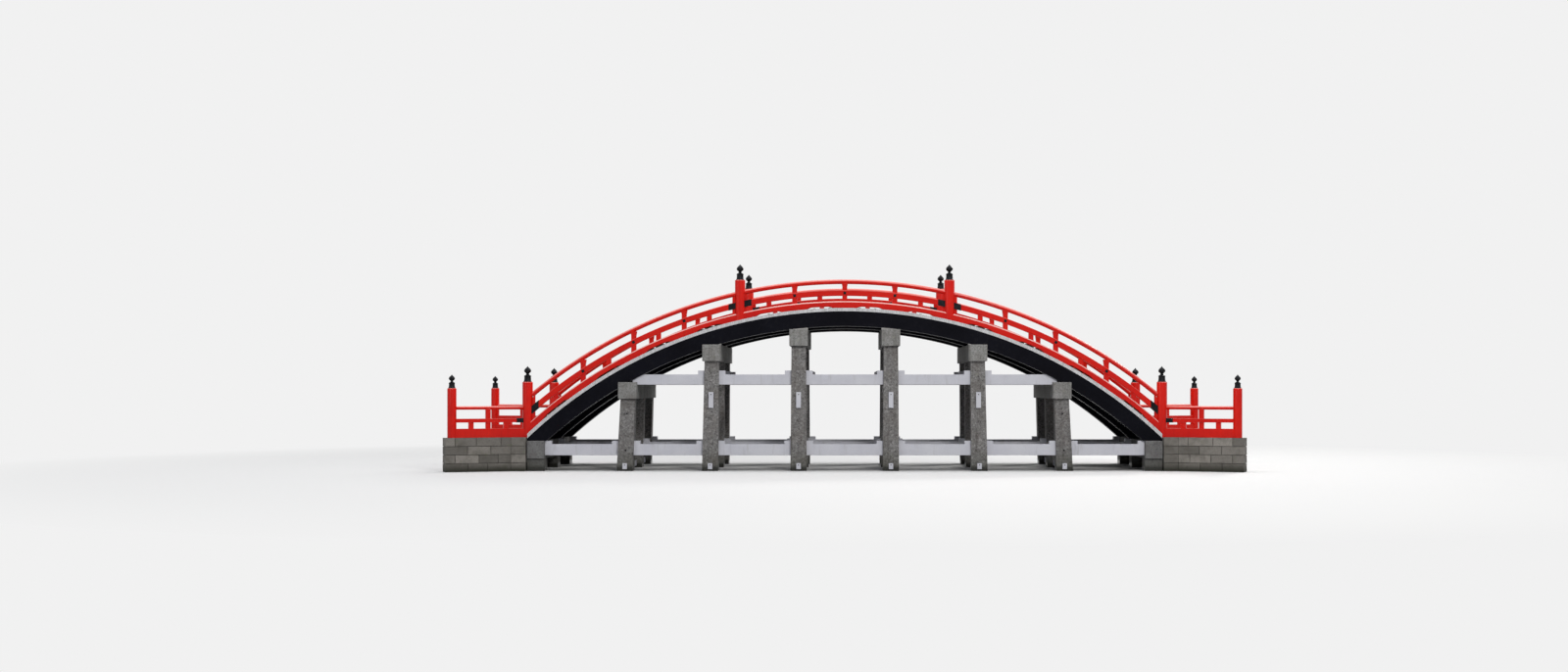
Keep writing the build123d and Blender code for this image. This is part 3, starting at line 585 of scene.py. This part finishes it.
def join_rings(mesh_data, rings):
    """Closed skin over rings of like corners, with a face at each end."""
    mesh_data.faces.new(rings[0])
    mesh_data.faces.new(list(reversed(rings[-1])))
    spokes = len(rings[0])
    for before, after in zip(rings, rings[1:]):
        for i in range(spokes):
            j = (i + 1) % spokes
            mesh_data.faces.new([before[i], after[i], after[j], before[j]])
    bmesh.ops.recalc_face_normals(mesh_data, faces=mesh_data.faces)


def turned_ring(mesh_data, place, radius, z, spokes):
    """Corners round the Z axis of a place, or one on the axis where the radius is 0."""
    angles = [2 * math.pi * n / spokes for n in range(spokes)] if radius else [0.0]
    corners = [Vector((radius * math.cos(angle), radius * math.sin(angle), z)) for angle in angles]
    return [mesh_data.verts.new(place @ corner) for corner in corners]


def lathe(mesh_data, profile, place, spokes=56):
    """Closed solid turned about its own Z, from pairs of radius and height that end on the axis."""
    rings = [turned_ring(mesh_data, place, radius, z, spokes) for radius, z in profile]
    for below, above in zip(rings, rings[1:]):
        for i in range(spokes):
            j = (i + 1) % spokes
            if len(below) == 1:
                corners = [below[0], above[j], above[i]]
            elif len(above) == 1:
                corners = [below[i], below[j], above[0]]
            else:
                corners = [below[i], below[j], above[j], above[i]]
            mesh_data.faces.new(corners)


def bent_tube(mesh_data, arc_radius, radius, stops, y, spokes=24, step=0.11):
    """Round rail bent to the arch between two places along the bridge."""
    first, last = (math.asin(x / arc_radius) for x in stops)
    count = math.ceil((last - first) * arc_radius / step)
    rings = []
    for n in range(count + 1):
        angle = first + (last - first) * n / count
        outward = Vector((math.sin(angle), 0.0, math.cos(angle)))
        ring = []
        for m in range(spokes):
            turn = 2 * math.pi * m / spokes
            reach = outward * math.cos(turn) + Vector((0.0, math.sin(turn), 0.0))
            ring.append(mesh_data.verts.new(arc_point(arc_radius, angle, y) + reach * radius))
        rings.append(ring)
    join_rings(mesh_data, rings)


def add_plate(mesh_data, place, size, height):
    """Square metal plate with bevelled edges and a low pyramid, facing along its own Z."""
    half = size / 2
    levels = ((half, 0.0), (half, height * 0.45), (half * 0.82, height * 0.62), (half * 0.2, height))
    rings = []
    for reach, z in levels:
        corners = ((-reach, -reach), (reach, -reach), (reach, reach), (-reach, reach))
        rings.append([mesh_data.verts.new(place @ Vector((x, y, z))) for x, y in corners])
    join_rings(mesh_data, rings)


def add_dome(mesh_data, place, radius, height, spokes=10):
    """Round-headed nail, or a low dark disc for the painted shade of a hole, its middle along its own Z."""
    levels = ((1.0, 0.0), (0.94, 0.4), (0.66, 0.8), (0.3, 0.97))
    rings = []
    for share, rise in levels:
        rings.append(turned_ring(mesh_data, place, radius * share, height * rise, spokes))
    join_rings(mesh_data, rings)


# Deck and steps
def deck_boards():
    """Transverse boards laid round the arch, with painted ends; the outermost boards end plumb."""
    names = ("deck_west", "deck_crown", "deck_east")
    meshes = {name: bmesh.new() for name in names}
    joints = [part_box(name)[1].x for name in names]
    y_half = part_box("deck_crown")[1].y
    reach = math.asin(joints[-1] / DECK_TOP_RADIUS)
    count = round(2 * reach * DECK_TOP_RADIUS / DECK_BOARD)
    gap = BOARD_JOINT / DECK_TOP_RADIUS
    for i in range(count):
        front = -y_half + rng.uniform(0.0, BOARD_END_PLAY)
        back = y_half - rng.uniform(0.0, BOARD_END_PLAY)
        top = DECK_TOP_RADIUS - rng.uniform(0.0, BOARD_TOP_PLAY)
        corners = []
        for radius in (GIRDER_TOP_RADIUS + SEAT, top):
            end = math.asin(joints[-1] / radius)
            west = reach * (2 * i / count - 1) + gap / 2 if i else -end
            east = reach * (2 * (i + 1) / count - 1) - gap / 2 if i < count - 1 else end
            corners += [arc_point(radius, west, front), arc_point(radius, east, front)]
            corners += [arc_point(radius, east, back), arc_point(radius, west, back)]
        middle = (corners[0].x + corners[1].x) / 2
        name = next(name for name, joint in zip(names, joints) if middle < joint)
        add_hexahedron(meshes[name], corners, rng.random())
    for name, mesh_data in meshes.items():
        piece(f"{name}_boards", mesh_data, DECK, (name,), bevel=0.002)


def step_boards():
    """Two top boards with a nosing on a set-back riser, for every tread at both ends."""
    for end, name in ENDS:
        mesh_data = bmesh.new()
        y_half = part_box(f"steps_{name}")[1].y
        reach = y_half - NOSING
        for number in range(STEP_COUNT):
            uphill = STEP_START + number * STEP_RUN
            downhill = uphill + STEP_RUN - STEP_JOINT
            riser = downhill - NOSING
            level = arc_height(DECK_TOP_RADIUS, uphill)
            under, top = level + SEAT, level + STEP_THICKNESS
            plan = ((uphill, -reach), (riser, -reach), (riser, reach), (uphill, reach))
            bottom = [(end * x, y, arc_height(DECK_TOP_RADIUS, x) + SEAT) for x, y in plan]
            roof = [(x, y, max(under, z + HAIRLINE)) for x, y, z in bottom]
            add_hexahedron(mesh_data, bottom + roof, rng.uniform(0.3, 1.0))
            middle = (uphill + downhill) / 2
            for x0, x1 in ((uphill, middle - HAIRLINE), (middle + HAIRLINE, downhill)):
                drop = rng.uniform(0.0, BOARD_TOP_PLAY)
                front = y_half - rng.uniform(0.0, STEP_END_PLAY)
                back = y_half - rng.uniform(0.0, STEP_END_PLAY)
                west, east = sorted((end * x0, end * x1))
                corners = box_corners((west, -front, under + HAIRLINE), (east, back, top - drop))
                add_hexahedron(mesh_data, corners, rng.random())
        bmesh.ops.recalc_face_normals(mesh_data, faces=mesh_data.faces)
        piece(f"step_boards_{name}", mesh_data, TREAD, (f"steps_{name}",), bevel=0.005)


# Masonry
def roughen(faces, mesh_data):
    """Cuts a block's faces finer and sinks its skin unevenly, like split stone."""
    edges = dict.fromkeys(edge for face in faces for edge in face.edges)
    made = bmesh.ops.subdivide_edges(mesh_data, edges=list(edges), cuts=2, use_grid_fill=True)
    skin = [v for v in made["geom"] if isinstance(v, bmesh.types.BMVert)]
    verts = dict.fromkeys([*skin, *(v for face in faces for v in face.verts)])
    centre = sum((v.co for v in verts), Vector()) / len(verts)
    for vert in verts:
        inward = (centre - vert.co).normalized()
        vert.co += inward * STONE_RELIEF * (0.5 + 0.5 * noise.noise(vert.co * RELIEF_SCALE))


def joint_marks(low, size, count, course):
    """Places of the upright joints along one side of a course, staggered in every other one."""
    shift = 0.5 if course % 2 and count > 1 else 0.0
    steps = [(n + shift) / count for n in range(count)]
    inner = [m + rng.uniform(-MASONRY_PLAY, MASONRY_PLAY) / count for m in steps if m > 0.0]
    return [low + size * mark for mark in (0.0, *inner, 1.0)]


def stone_rows(mesh_data, low, high, turn=Matrix.Identity(4)):
    """Fills a box with staggered courses of blocks round a recessed core, which the top one covers."""
    size = Vector(high) - Vector(low)
    height = size.z / COURSES
    counts = [max(1, round(size[axis] / STONE_LENGTH)) for axis in (0, 1)]
    half = MASONRY_JOINT / 2
    for course in range(COURSES):
        z0 = low[2] + course * height + (half if course else 0.0)
        z1 = low[2] + (course + 1) * height - (half if course < COURSES - 1 else 0.0)
        cuts = [joint_marks(low[axis], size[axis], counts[axis], course) for axis in (0, 1)]
        for x0, x1 in zip(cuts[0], cuts[0][1:]):
            for y0, y1 in zip(cuts[1], cuts[1][1:]):
                inner = x0 > low[0] and x1 < high[0] and y0 > low[1] and y1 < high[1]
                if inner and course < COURSES - 1:
                    continue
                near = (x0 + half * (x0 > low[0]), y0 + half * (y0 > low[1]), z0)
                far = (x1 - half * (x1 < high[0]), y1 - half * (y1 < high[1]), z1)
                block = add_hexahedron(mesh_data, box_corners(near, far, turn), rng.random())
                roughen(block, mesh_data)
    core_low = [value + CORE_INSET for value in low[:2]] + [low[2]]
    core_high = [value - CORE_INSET for value in high]
    add_hexahedron(mesh_data, box_corners(core_low, core_high, turn), 0.0)


def wing_turn(end, side):
    """Matrix of a wing railing's own frame, whose X runs from the base newel to the end newel."""
    angle = side * (WING_ANGLE if end > 0 else math.pi - WING_ANGLE)
    return Matrix.Translation((end * BASE_NEWEL_X, side * ROW, 0.0)) @ Matrix.Rotation(angle, 4, "Z")


def cut_blocks(mesh_data, turn, point, outward):
    """Cuts blocks off at a plane given in a wing railing's frame, and closes them there."""
    geometry = [*mesh_data.verts, *mesh_data.edges, *mesh_data.faces]
    plane = {"plane_co": turn @ Vector(point), "plane_no": turn.to_3x3() @ Vector(outward)}
    bmesh.ops.bisect_plane(mesh_data, geom=geometry, clear_outer=True, **plane)
    bmesh.ops.holes_fill(mesh_data, edges=[edge for edge in mesh_data.edges if edge.is_boundary])


def abutment_masonry():
    """Courses of the abutments and of the wing footings, whose lines end the abutments' corners."""
    low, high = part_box("abutment_east")
    half = FOOTING_WIDTH / 2
    sine, cosine = math.sin(WING_ANGLE), math.cos(WING_ANGLE)
    # Length of the wing's line up to where the footing's outer side leaves the abutment's side
    start = (high.y - ROW - half * cosine) / sine
    # Distance from mid-width where the inner side's line meets the abutment's far and near faces
    length = high.x - BASE_NEWEL_X
    middle_reach = ROW + (length - half * sine) / cosine * sine - half * cosine
    corner_reach = ROW + (low.x - BASE_NEWEL_X - half * sine) / cosine * sine - half * cosine
    # Place along the bridge where the inner side reaches the footing's first face
    corner_end = BASE_NEWEL_X + start * cosine + half * sine
    joint = MASONRY_JOINT / 2
    for end, name in ENDS:
        middle = bmesh.new()
        x0, x1 = sorted((end * low.x, end * high.x))
        stone_rows(middle, (x0, -middle_reach, 0.0), (x1, middle_reach, high.z))
        parts = [middle]
        for side in (-1, 1):
            turn = wing_turn(end, side)
            # Across the wing railing's frame, towards the bridge's middle
            way = -end * side
            cut_blocks(middle, turn, (0.0, way * (half + joint), 0.0), (0.0, -way, 0.0))
            corner = bmesh.new()
            x0, x1 = sorted((end * low.x, end * corner_end))
            y0, y1 = sorted((side * corner_reach, side * high.y))
            stone_rows(corner, (x0, y0, 0.0), (x1, y1, high.z))
            cut_blocks(corner, turn, (0.0, way * (half - joint), 0.0), (0.0, way, 0.0))
            cut_blocks(corner, turn, (start - joint, 0.0, 0.0), (1.0, 0.0, 0.0))
            parts.append(corner)
        piece(f"abutment_{name}_blocks", joined(parts), MASONRY, (f"abutment_{name}",))
    footings = bmesh.new()
    near, far = (start, -half, 0.0), (WING_LENGTH + half, half, high.z)
    for end in (-1, 1):
        for side in (-1, 1):
            stone_rows(footings, near, far, wing_turn(end, side))
    piece("wing_footing_blocks", footings, MASONRY, ("wing_footings",))


# Railings
def drain_rise(x):
    """Height of a drain under the sill at x: flat in its middle, with ogee ends."""
    away = min(abs(abs(x) - place) for place in DRAIN_PLACES)
    share = min(max((DRAIN_REACH - away) / (DRAIN_REACH - DRAIN_FLAT), 0.0), 1.0)
    return DRAIN_HEIGHT * share * share * (3 - 2 * share)


def sill_section(x, y):
    """Corners of the sill's plumb section at x, its upper arrises chamfered."""
    foot = arc_height(DECK_TOP_RADIUS + SILL_GAP + drain_rise(x), x)
    top = arc_height(DECK_TOP_RADIUS + SILL_HEIGHT, x)
    half = SILL_WIDTH / 2
    flat = half - SILL_CHAMFER
    shoulder = top - SILL_CHAMFER
    lower = ((-half, foot), (half, foot), (half, shoulder))
    upper = ((flat, top), (-flat, top), (-half, shoulder))
    return [Vector((x, y + across, z)) for across, z in lower + upper]


def sills():
    """Sills from newel to newel, their ends hidden in the newels."""
    inset = NEWEL_RADIUS * SILL_INLET_SHARE
    for side, name in SIDES:
        mesh_data = bmesh.new()
        for x0, x1 in zip(NEWEL_LINE, NEWEL_LINE[1:]):
            length = x1 - x0 - 2 * inset
            count = round(length / SILL_SECTION_STEP)
            places = [x0 + inset + length * n / count for n in range(count + 1)]
            sections = [sill_section(x, side * ROW) for x in places]
            join_rings(mesh_data, [[mesh_data.verts.new(point) for point in ring] for ring in sections])
        plain = (f"base_rail_{name}",)
        piece(f"sill_{name}", mesh_data, SILL_RED, plain, bevel=0.006)


def top_rails():
    """Round top rails from newel to newel, let a little way into them."""
    inset = NEWEL_RADIUS - TOP_RAIL_INLET
    for side, name in SIDES:
        mesh_data = bmesh.new()
        for x0, x1 in zip(NEWEL_LINE, NEWEL_LINE[1:]):
            stops = (x0 + inset, x1 - inset)
            bent_tube(mesh_data, TOP_RAIL_RADIUS, TOP_RAIL_THICKNESS / 2, stops, side * ROW)
        plain = (f"top_rail_{name}",)
        finish_smooth(piece(f"round_top_rail_{name}", mesh_data, RAIL_RED, plain))


def newel_stands(side):
    """Place, radius, foot, top and the cap's share of full size, for each newel on one side."""
    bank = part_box("abutment_east")[1].z
    crown_foot = arc_height(DECK_TOP_RADIUS, CROWN_NEWEL_X + NEWEL_RADIUS)
    crown_top = arc_height(GIRDER_TOP_RADIUS, CROWN_NEWEL_X) + CROWN_NEWEL_RISE
    crown = (CROWN_NEWEL_X, crown_foot, crown_top)
    base = (BASE_NEWEL_X, bank, bank + BASE_NEWEL_RISE)
    for x, foot, top in (crown, base):
        for end in (-1, 1):
            yield Matrix.Translation((end * x, side * ROW, 0.0)), NEWEL_RADIUS, foot, top, 1.0
    for end in (-1, 1):
        turn = wing_turn(end, side) @ Matrix.Translation((WING_LENGTH, 0.0, 0.0))
        yield turn, WING_NEWEL_RADIUS, bank, bank + WING_NEWEL_RISE, WING_CAP_SHARE


def rounded_newel(radius, foot, top):
    """Profile of a round newel with a soft shoulder."""
    profile = [(0.0, foot), (radius, foot)]
    for n in range(SHOULDER_STEPS + 1):
        angle = math.pi / 2 * n / SHOULDER_STEPS
        inset = NEWEL_SHOULDER * (1 - math.cos(angle))
        profile.append((radius - inset, top - NEWEL_SHOULDER + NEWEL_SHOULDER * math.sin(angle)))
    return profile + [(0.0, top)]


def onion_profile(z0, share):
    """Cast cap: foot ring, waisted drum, bead, narrow neck with a collar, bulb and point."""
    drum = [(0.131, 0.0), (0.131, 0.016), (0.127, 0.024), (0.118, 0.029), (0.112, 0.05), (0.107, 0.09)]
    bead = [(0.104, 0.14), (0.105, 0.168), (0.111, 0.173), (0.1145, 0.183), (0.111, 0.193), (0.101, 0.199)]
    neck = [(0.086, 0.21), (0.062, 0.226), (0.046, 0.24), (0.042, 0.252), (0.052, 0.26), (0.056, 0.267)]
    bulb = [(0.052, 0.274), (0.066, 0.284), (0.088, 0.3), (0.103, 0.32), (0.11, 0.343), (0.108, 0.366)]
    point = [(0.097, 0.392), (0.079, 0.415), (0.057, 0.436), (0.036, 0.455), (0.018, 0.475), (0.006, 0.492)]
    pairs = [(0.0, 0.0), *drum, *bead, *neck, *bulb, *point, (0.0, CAP_HEIGHT)]
    return [(radius * share, z0 + z * share) for radius, z in pairs]


def newels_and_caps():
    """Turned newels of both railings, and all their caps in one piece."""
    caps = bmesh.new()
    for side, name in SIDES:
        bodies = bmesh.new()
        for turn, radius, foot, top, share in newel_stands(side):
            lathe(bodies, rounded_newel(radius, foot, top), turn)
            lathe(caps, onion_profile(top, share), turn, spokes=40)
        plain = (f"newels_{name}",)
        finish_smooth(piece(f"round_newels_{name}", bodies, POST_RED, plain))
    finish_smooth(piece("onion_caps", caps, METAL, ("newel_caps",)), 50)


def rail_fittings():
    """Square plates on the middle rail at each full post, on both faces of both railings."""
    mesh_data = bmesh.new()
    places = sorted({sign * place for place in POST_PLACES for sign in (-1, 1)})
    for side in (-1, 1):
        for way in (-1, 1):
            y = side * ROW + way * MIDDLE_RAIL_WIDTH / 2
            for x in places:
                origin = Vector((x, y, arc_height(MIDDLE_RAIL_RADIUS, x)))
                angle = math.asin(x / MIDDLE_RAIL_RADIUS)
                tangent = (math.cos(angle), 0.0, -math.sin(angle))
                add_plate(mesh_data, facing(origin, (0, way, 0), tangent), PLATE_SIZE, PLATE_HEIGHT)
    piece("post_plates", mesh_data, METAL, bevel=0.0015)


def nail_faces(mesh_data, place, reach):
    """Four nails on each of a sleeve's upright faces, which are a reach away from its middle."""
    for way in (-1, 1):
        for x in NAIL_PLACES:
            for z in NAIL_ROWS:
                head = place @ facing((x, way * reach, z), (0, way, 0), (1, 0, 0))
                add_dome(mesh_data, head, NAIL_RADIUS, NAIL_RISE)


def sleeve_nails():
    """Round-headed nails on both faces of every sleeve."""
    mesh_data = bmesh.new()
    along = NEWEL_RADIUS + SLEEVE_LENGTH / 2
    for side in (-1, 1):
        middles = [x + way * along for x in NEWEL_LINE for way in (-1, 1)]
        for middle in (x for x in middles if abs(x) < BASE_NEWEL_X):
            angle = math.asin(middle / MIDDLE_RAIL_RADIUS)
            origin = Matrix.Translation(arc_point(MIDDLE_RAIL_RADIUS, angle, side * ROW))
            place = origin @ Matrix.Rotation(angle, 4, "Y")
            nail_faces(mesh_data, place, MIDDLE_RAIL_WIDTH / 2 + SLEEVE_WALL)
        for end in (-1, 1):
            place = wing_turn(end, side) @ Matrix.Translation((along, 0.0, WING_MIDDLE_RAIL_HEIGHT))
            nail_faces(mesh_data, place, WING_MIDDLE_RAIL_WIDTH / 2 + SLEEVE_WALL)
    finish_smooth(piece("sleeve_nails", mesh_data, METAL))


# Painted shade of holes in the stone
def hole_shade_discs():
    """Dark discs as painted shade of the holes in the ends of the cross ties and of the outer pillars'
    sockets.
    """
    mesh_data = bmesh.new()
    upper_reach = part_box("upper_cross_ties")[1].y
    lower_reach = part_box("lower_cross_ties")[1].y
    places = [(x, upper_reach, UPPER_HOLE_HEIGHT, HOLE_DISC_RADIUS) for x in UPPER_TIE_ENDS]
    places += [(x, lower_reach, LOWER_HOLE_HEIGHT, HOLE_DISC_RADIUS) for x in LOWER_TIE_ENDS]
    places += [(*socket, SOCKET_RADIUS) for socket in SOCKETS]
    for x, y, z, radius in places:
        for end in (-1, 1):
            for side in (-1, 1):
                head = facing((end * x, side * y, z), (0, side, 0), (1, 0, 0))
                add_dome(mesh_data, head, radius, HOLE_DISC_RISE, 16)
    finish_smooth(piece("hole_shade_discs", mesh_data, METAL))


# Stage, light and camera
def background_rays(tree):
    """Socket that is 1 for the rays that show the background: seen, mirrored or through glass."""
    path = add_node(tree, "ShaderNodeLightPath").outputs
    mirrored = {0: path["Is Glossy Ray"], 1: path["Is Transmission Ray"]}
    either = add_node(tree, "ShaderNodeMath", mirrored, operation="MAXIMUM").outputs[0]
    inputs = {0: path["Is Camera Ray"], 1: either}
    return add_node(tree, "ShaderNodeMath", inputs, operation="MAXIMUM").outputs[0]


def stage():
    """Pale floor that takes the shadow and fades into the background."""
    floor_mesh = bmesh.new()
    bmesh.ops.create_grid(floor_mesh, x_segments=1, y_segments=1, size=FLOOR_REACH)
    mesh = bpy.data.meshes.new("floor")
    floor_mesh.to_mesh(mesh)
    floor_mesh.free()
    floor = bpy.data.objects.new("floor", mesh)
    bpy.context.scene.collection.objects.link(floor)
    floor.location.z = FLOOR_DEPTH
    look = Surface("pale_floor", Roughness=0.8, Specular_IOR_Level=0.1)
    far = look.add("ShaderNodeVectorMath", {0: look.place()}, operation="LENGTH").outputs["Value"]
    # The floor throws less light up at the bridge than it shows
    seen = background_rays(look.tree)
    look.finish(look.blend(seen, rgb(0.4, 0.4, 0.4), rgb(0.72, 0.72, 0.72)))
    faded = look.product(look.spread(far, FADE_START, FADE_END), seen)
    plain = look.add("ShaderNodeEmission", {"Color": BACKDROP, "Strength": 1.0})
    mixed = look.add("ShaderNodeMixShader", {0: faded, 1: look.shader.outputs[0], 2: plain.outputs[0]})
    output = next(n for n in look.tree.nodes if n.type == "OUTPUT_MATERIAL")
    look.tree.links.new(mixed.outputs[0], output.inputs["Surface"])
    floor.data.materials.append(look.material)


def lamp(name, place, target, size, power, colour=(1.0, 1.0, 1.0)):
    """Soft oval lamp that shines from a place to a target."""
    data = bpy.data.lights.new(name, "AREA")
    data.shape = "ELLIPSE"
    data.size, data.size_y = size
    data.energy = power
    data.color = colour
    made = bpy.data.objects.new(name, data)
    bpy.context.scene.collection.objects.link(made)
    made.location = place
    direction = Vector(target) - Vector(place)
    made.rotation_euler = direction.to_track_quat("-Z", "Y").to_euler()


def world():
    """Faint light that grows from the horizon up, behind a plain pale background."""
    made = bpy.data.worlds.new("studio")
    made.use_nodes = True
    tree = made.node_tree
    tree.nodes.clear()
    place = add_node(tree, "ShaderNodeTexCoord").outputs["Generated"]
    height = add_node(tree, "ShaderNodeSeparateXYZ", {0: place}).outputs[2]
    sky = add_node(tree, "ShaderNodeMapRange", {0: height, 1: 0.0, 2: 0.8, 3: 0.1, 4: 0.45}).outputs[0]
    soft = add_node(tree, "ShaderNodeBackground", {"Color": rgb(0.93, 0.96, 1.0), "Strength": sky})
    plain = add_node(tree, "ShaderNodeBackground", {"Color": BACKDROP, "Strength": 1.0})
    layers = {0: background_rays(tree), 1: soft.outputs[0], 2: plain.outputs[0]}
    mixed = add_node(tree, "ShaderNodeMixShader", layers)
    add_node(tree, "ShaderNodeOutputWorld", {0: mixed.outputs[0]})
    bpy.context.scene.world = made


def camera():
    """Camera level at the horizon's height, shifted to the photograph's framing."""
    data = bpy.data.cameras.new("camera")
    data.sensor_fit = "HORIZONTAL"
    data.sensor_width = SENSOR
    data.lens = LENS
    data.shift_x = -(MIDDLE_COLUMN - FRAME_WIDTH / 2) / FRAME_WIDTH
    data.shift_y = (HORIZON_ROW - FRAME_HEIGHT / 2) / FRAME_WIDTH
    data.clip_end = 600.0
    made = bpy.data.objects.new("camera", data)
    bpy.context.scene.collection.objects.link(made)
    made.location = (0.0, -ROW - CAMERA_DISTANCE, CAMERA_HEIGHT)
    made.rotation_euler = (math.radians(90), 0.0, 0.0)
    bpy.context.scene.camera = made


dress_all()
deck_boards()
step_boards()
abutment_masonry()
sills()
top_rails()
newels_and_caps()
rail_fittings()
sleeve_nails()
hole_shade_discs()

stage()
lamp("key", (11.0, -42.0, 28.0), (0.0, 0.0, 3.0), (12.0, 12.0), 9800.0, (1.0, 0.98, 0.95))
lamp("fill", (-30.0, -30.0, 14.0), (0.0, 0.0, 2.5), (20.0, 20.0), 1200.0, (0.93, 0.96, 1.0))
lamp("rim", (26.0, 24.0, 26.0), (0.0, 0.0, 3.5), (10.0, 10.0), 6500.0, (1.0, 0.98, 0.94))
lamp("overhead", (0.0, -1.0, 32.0), (0.0, 0.0, 3.0), (80.0, 12.0), 9000.0)
world()
camera()
bpy.context.scene.view_settings.view_transform = "Standard"
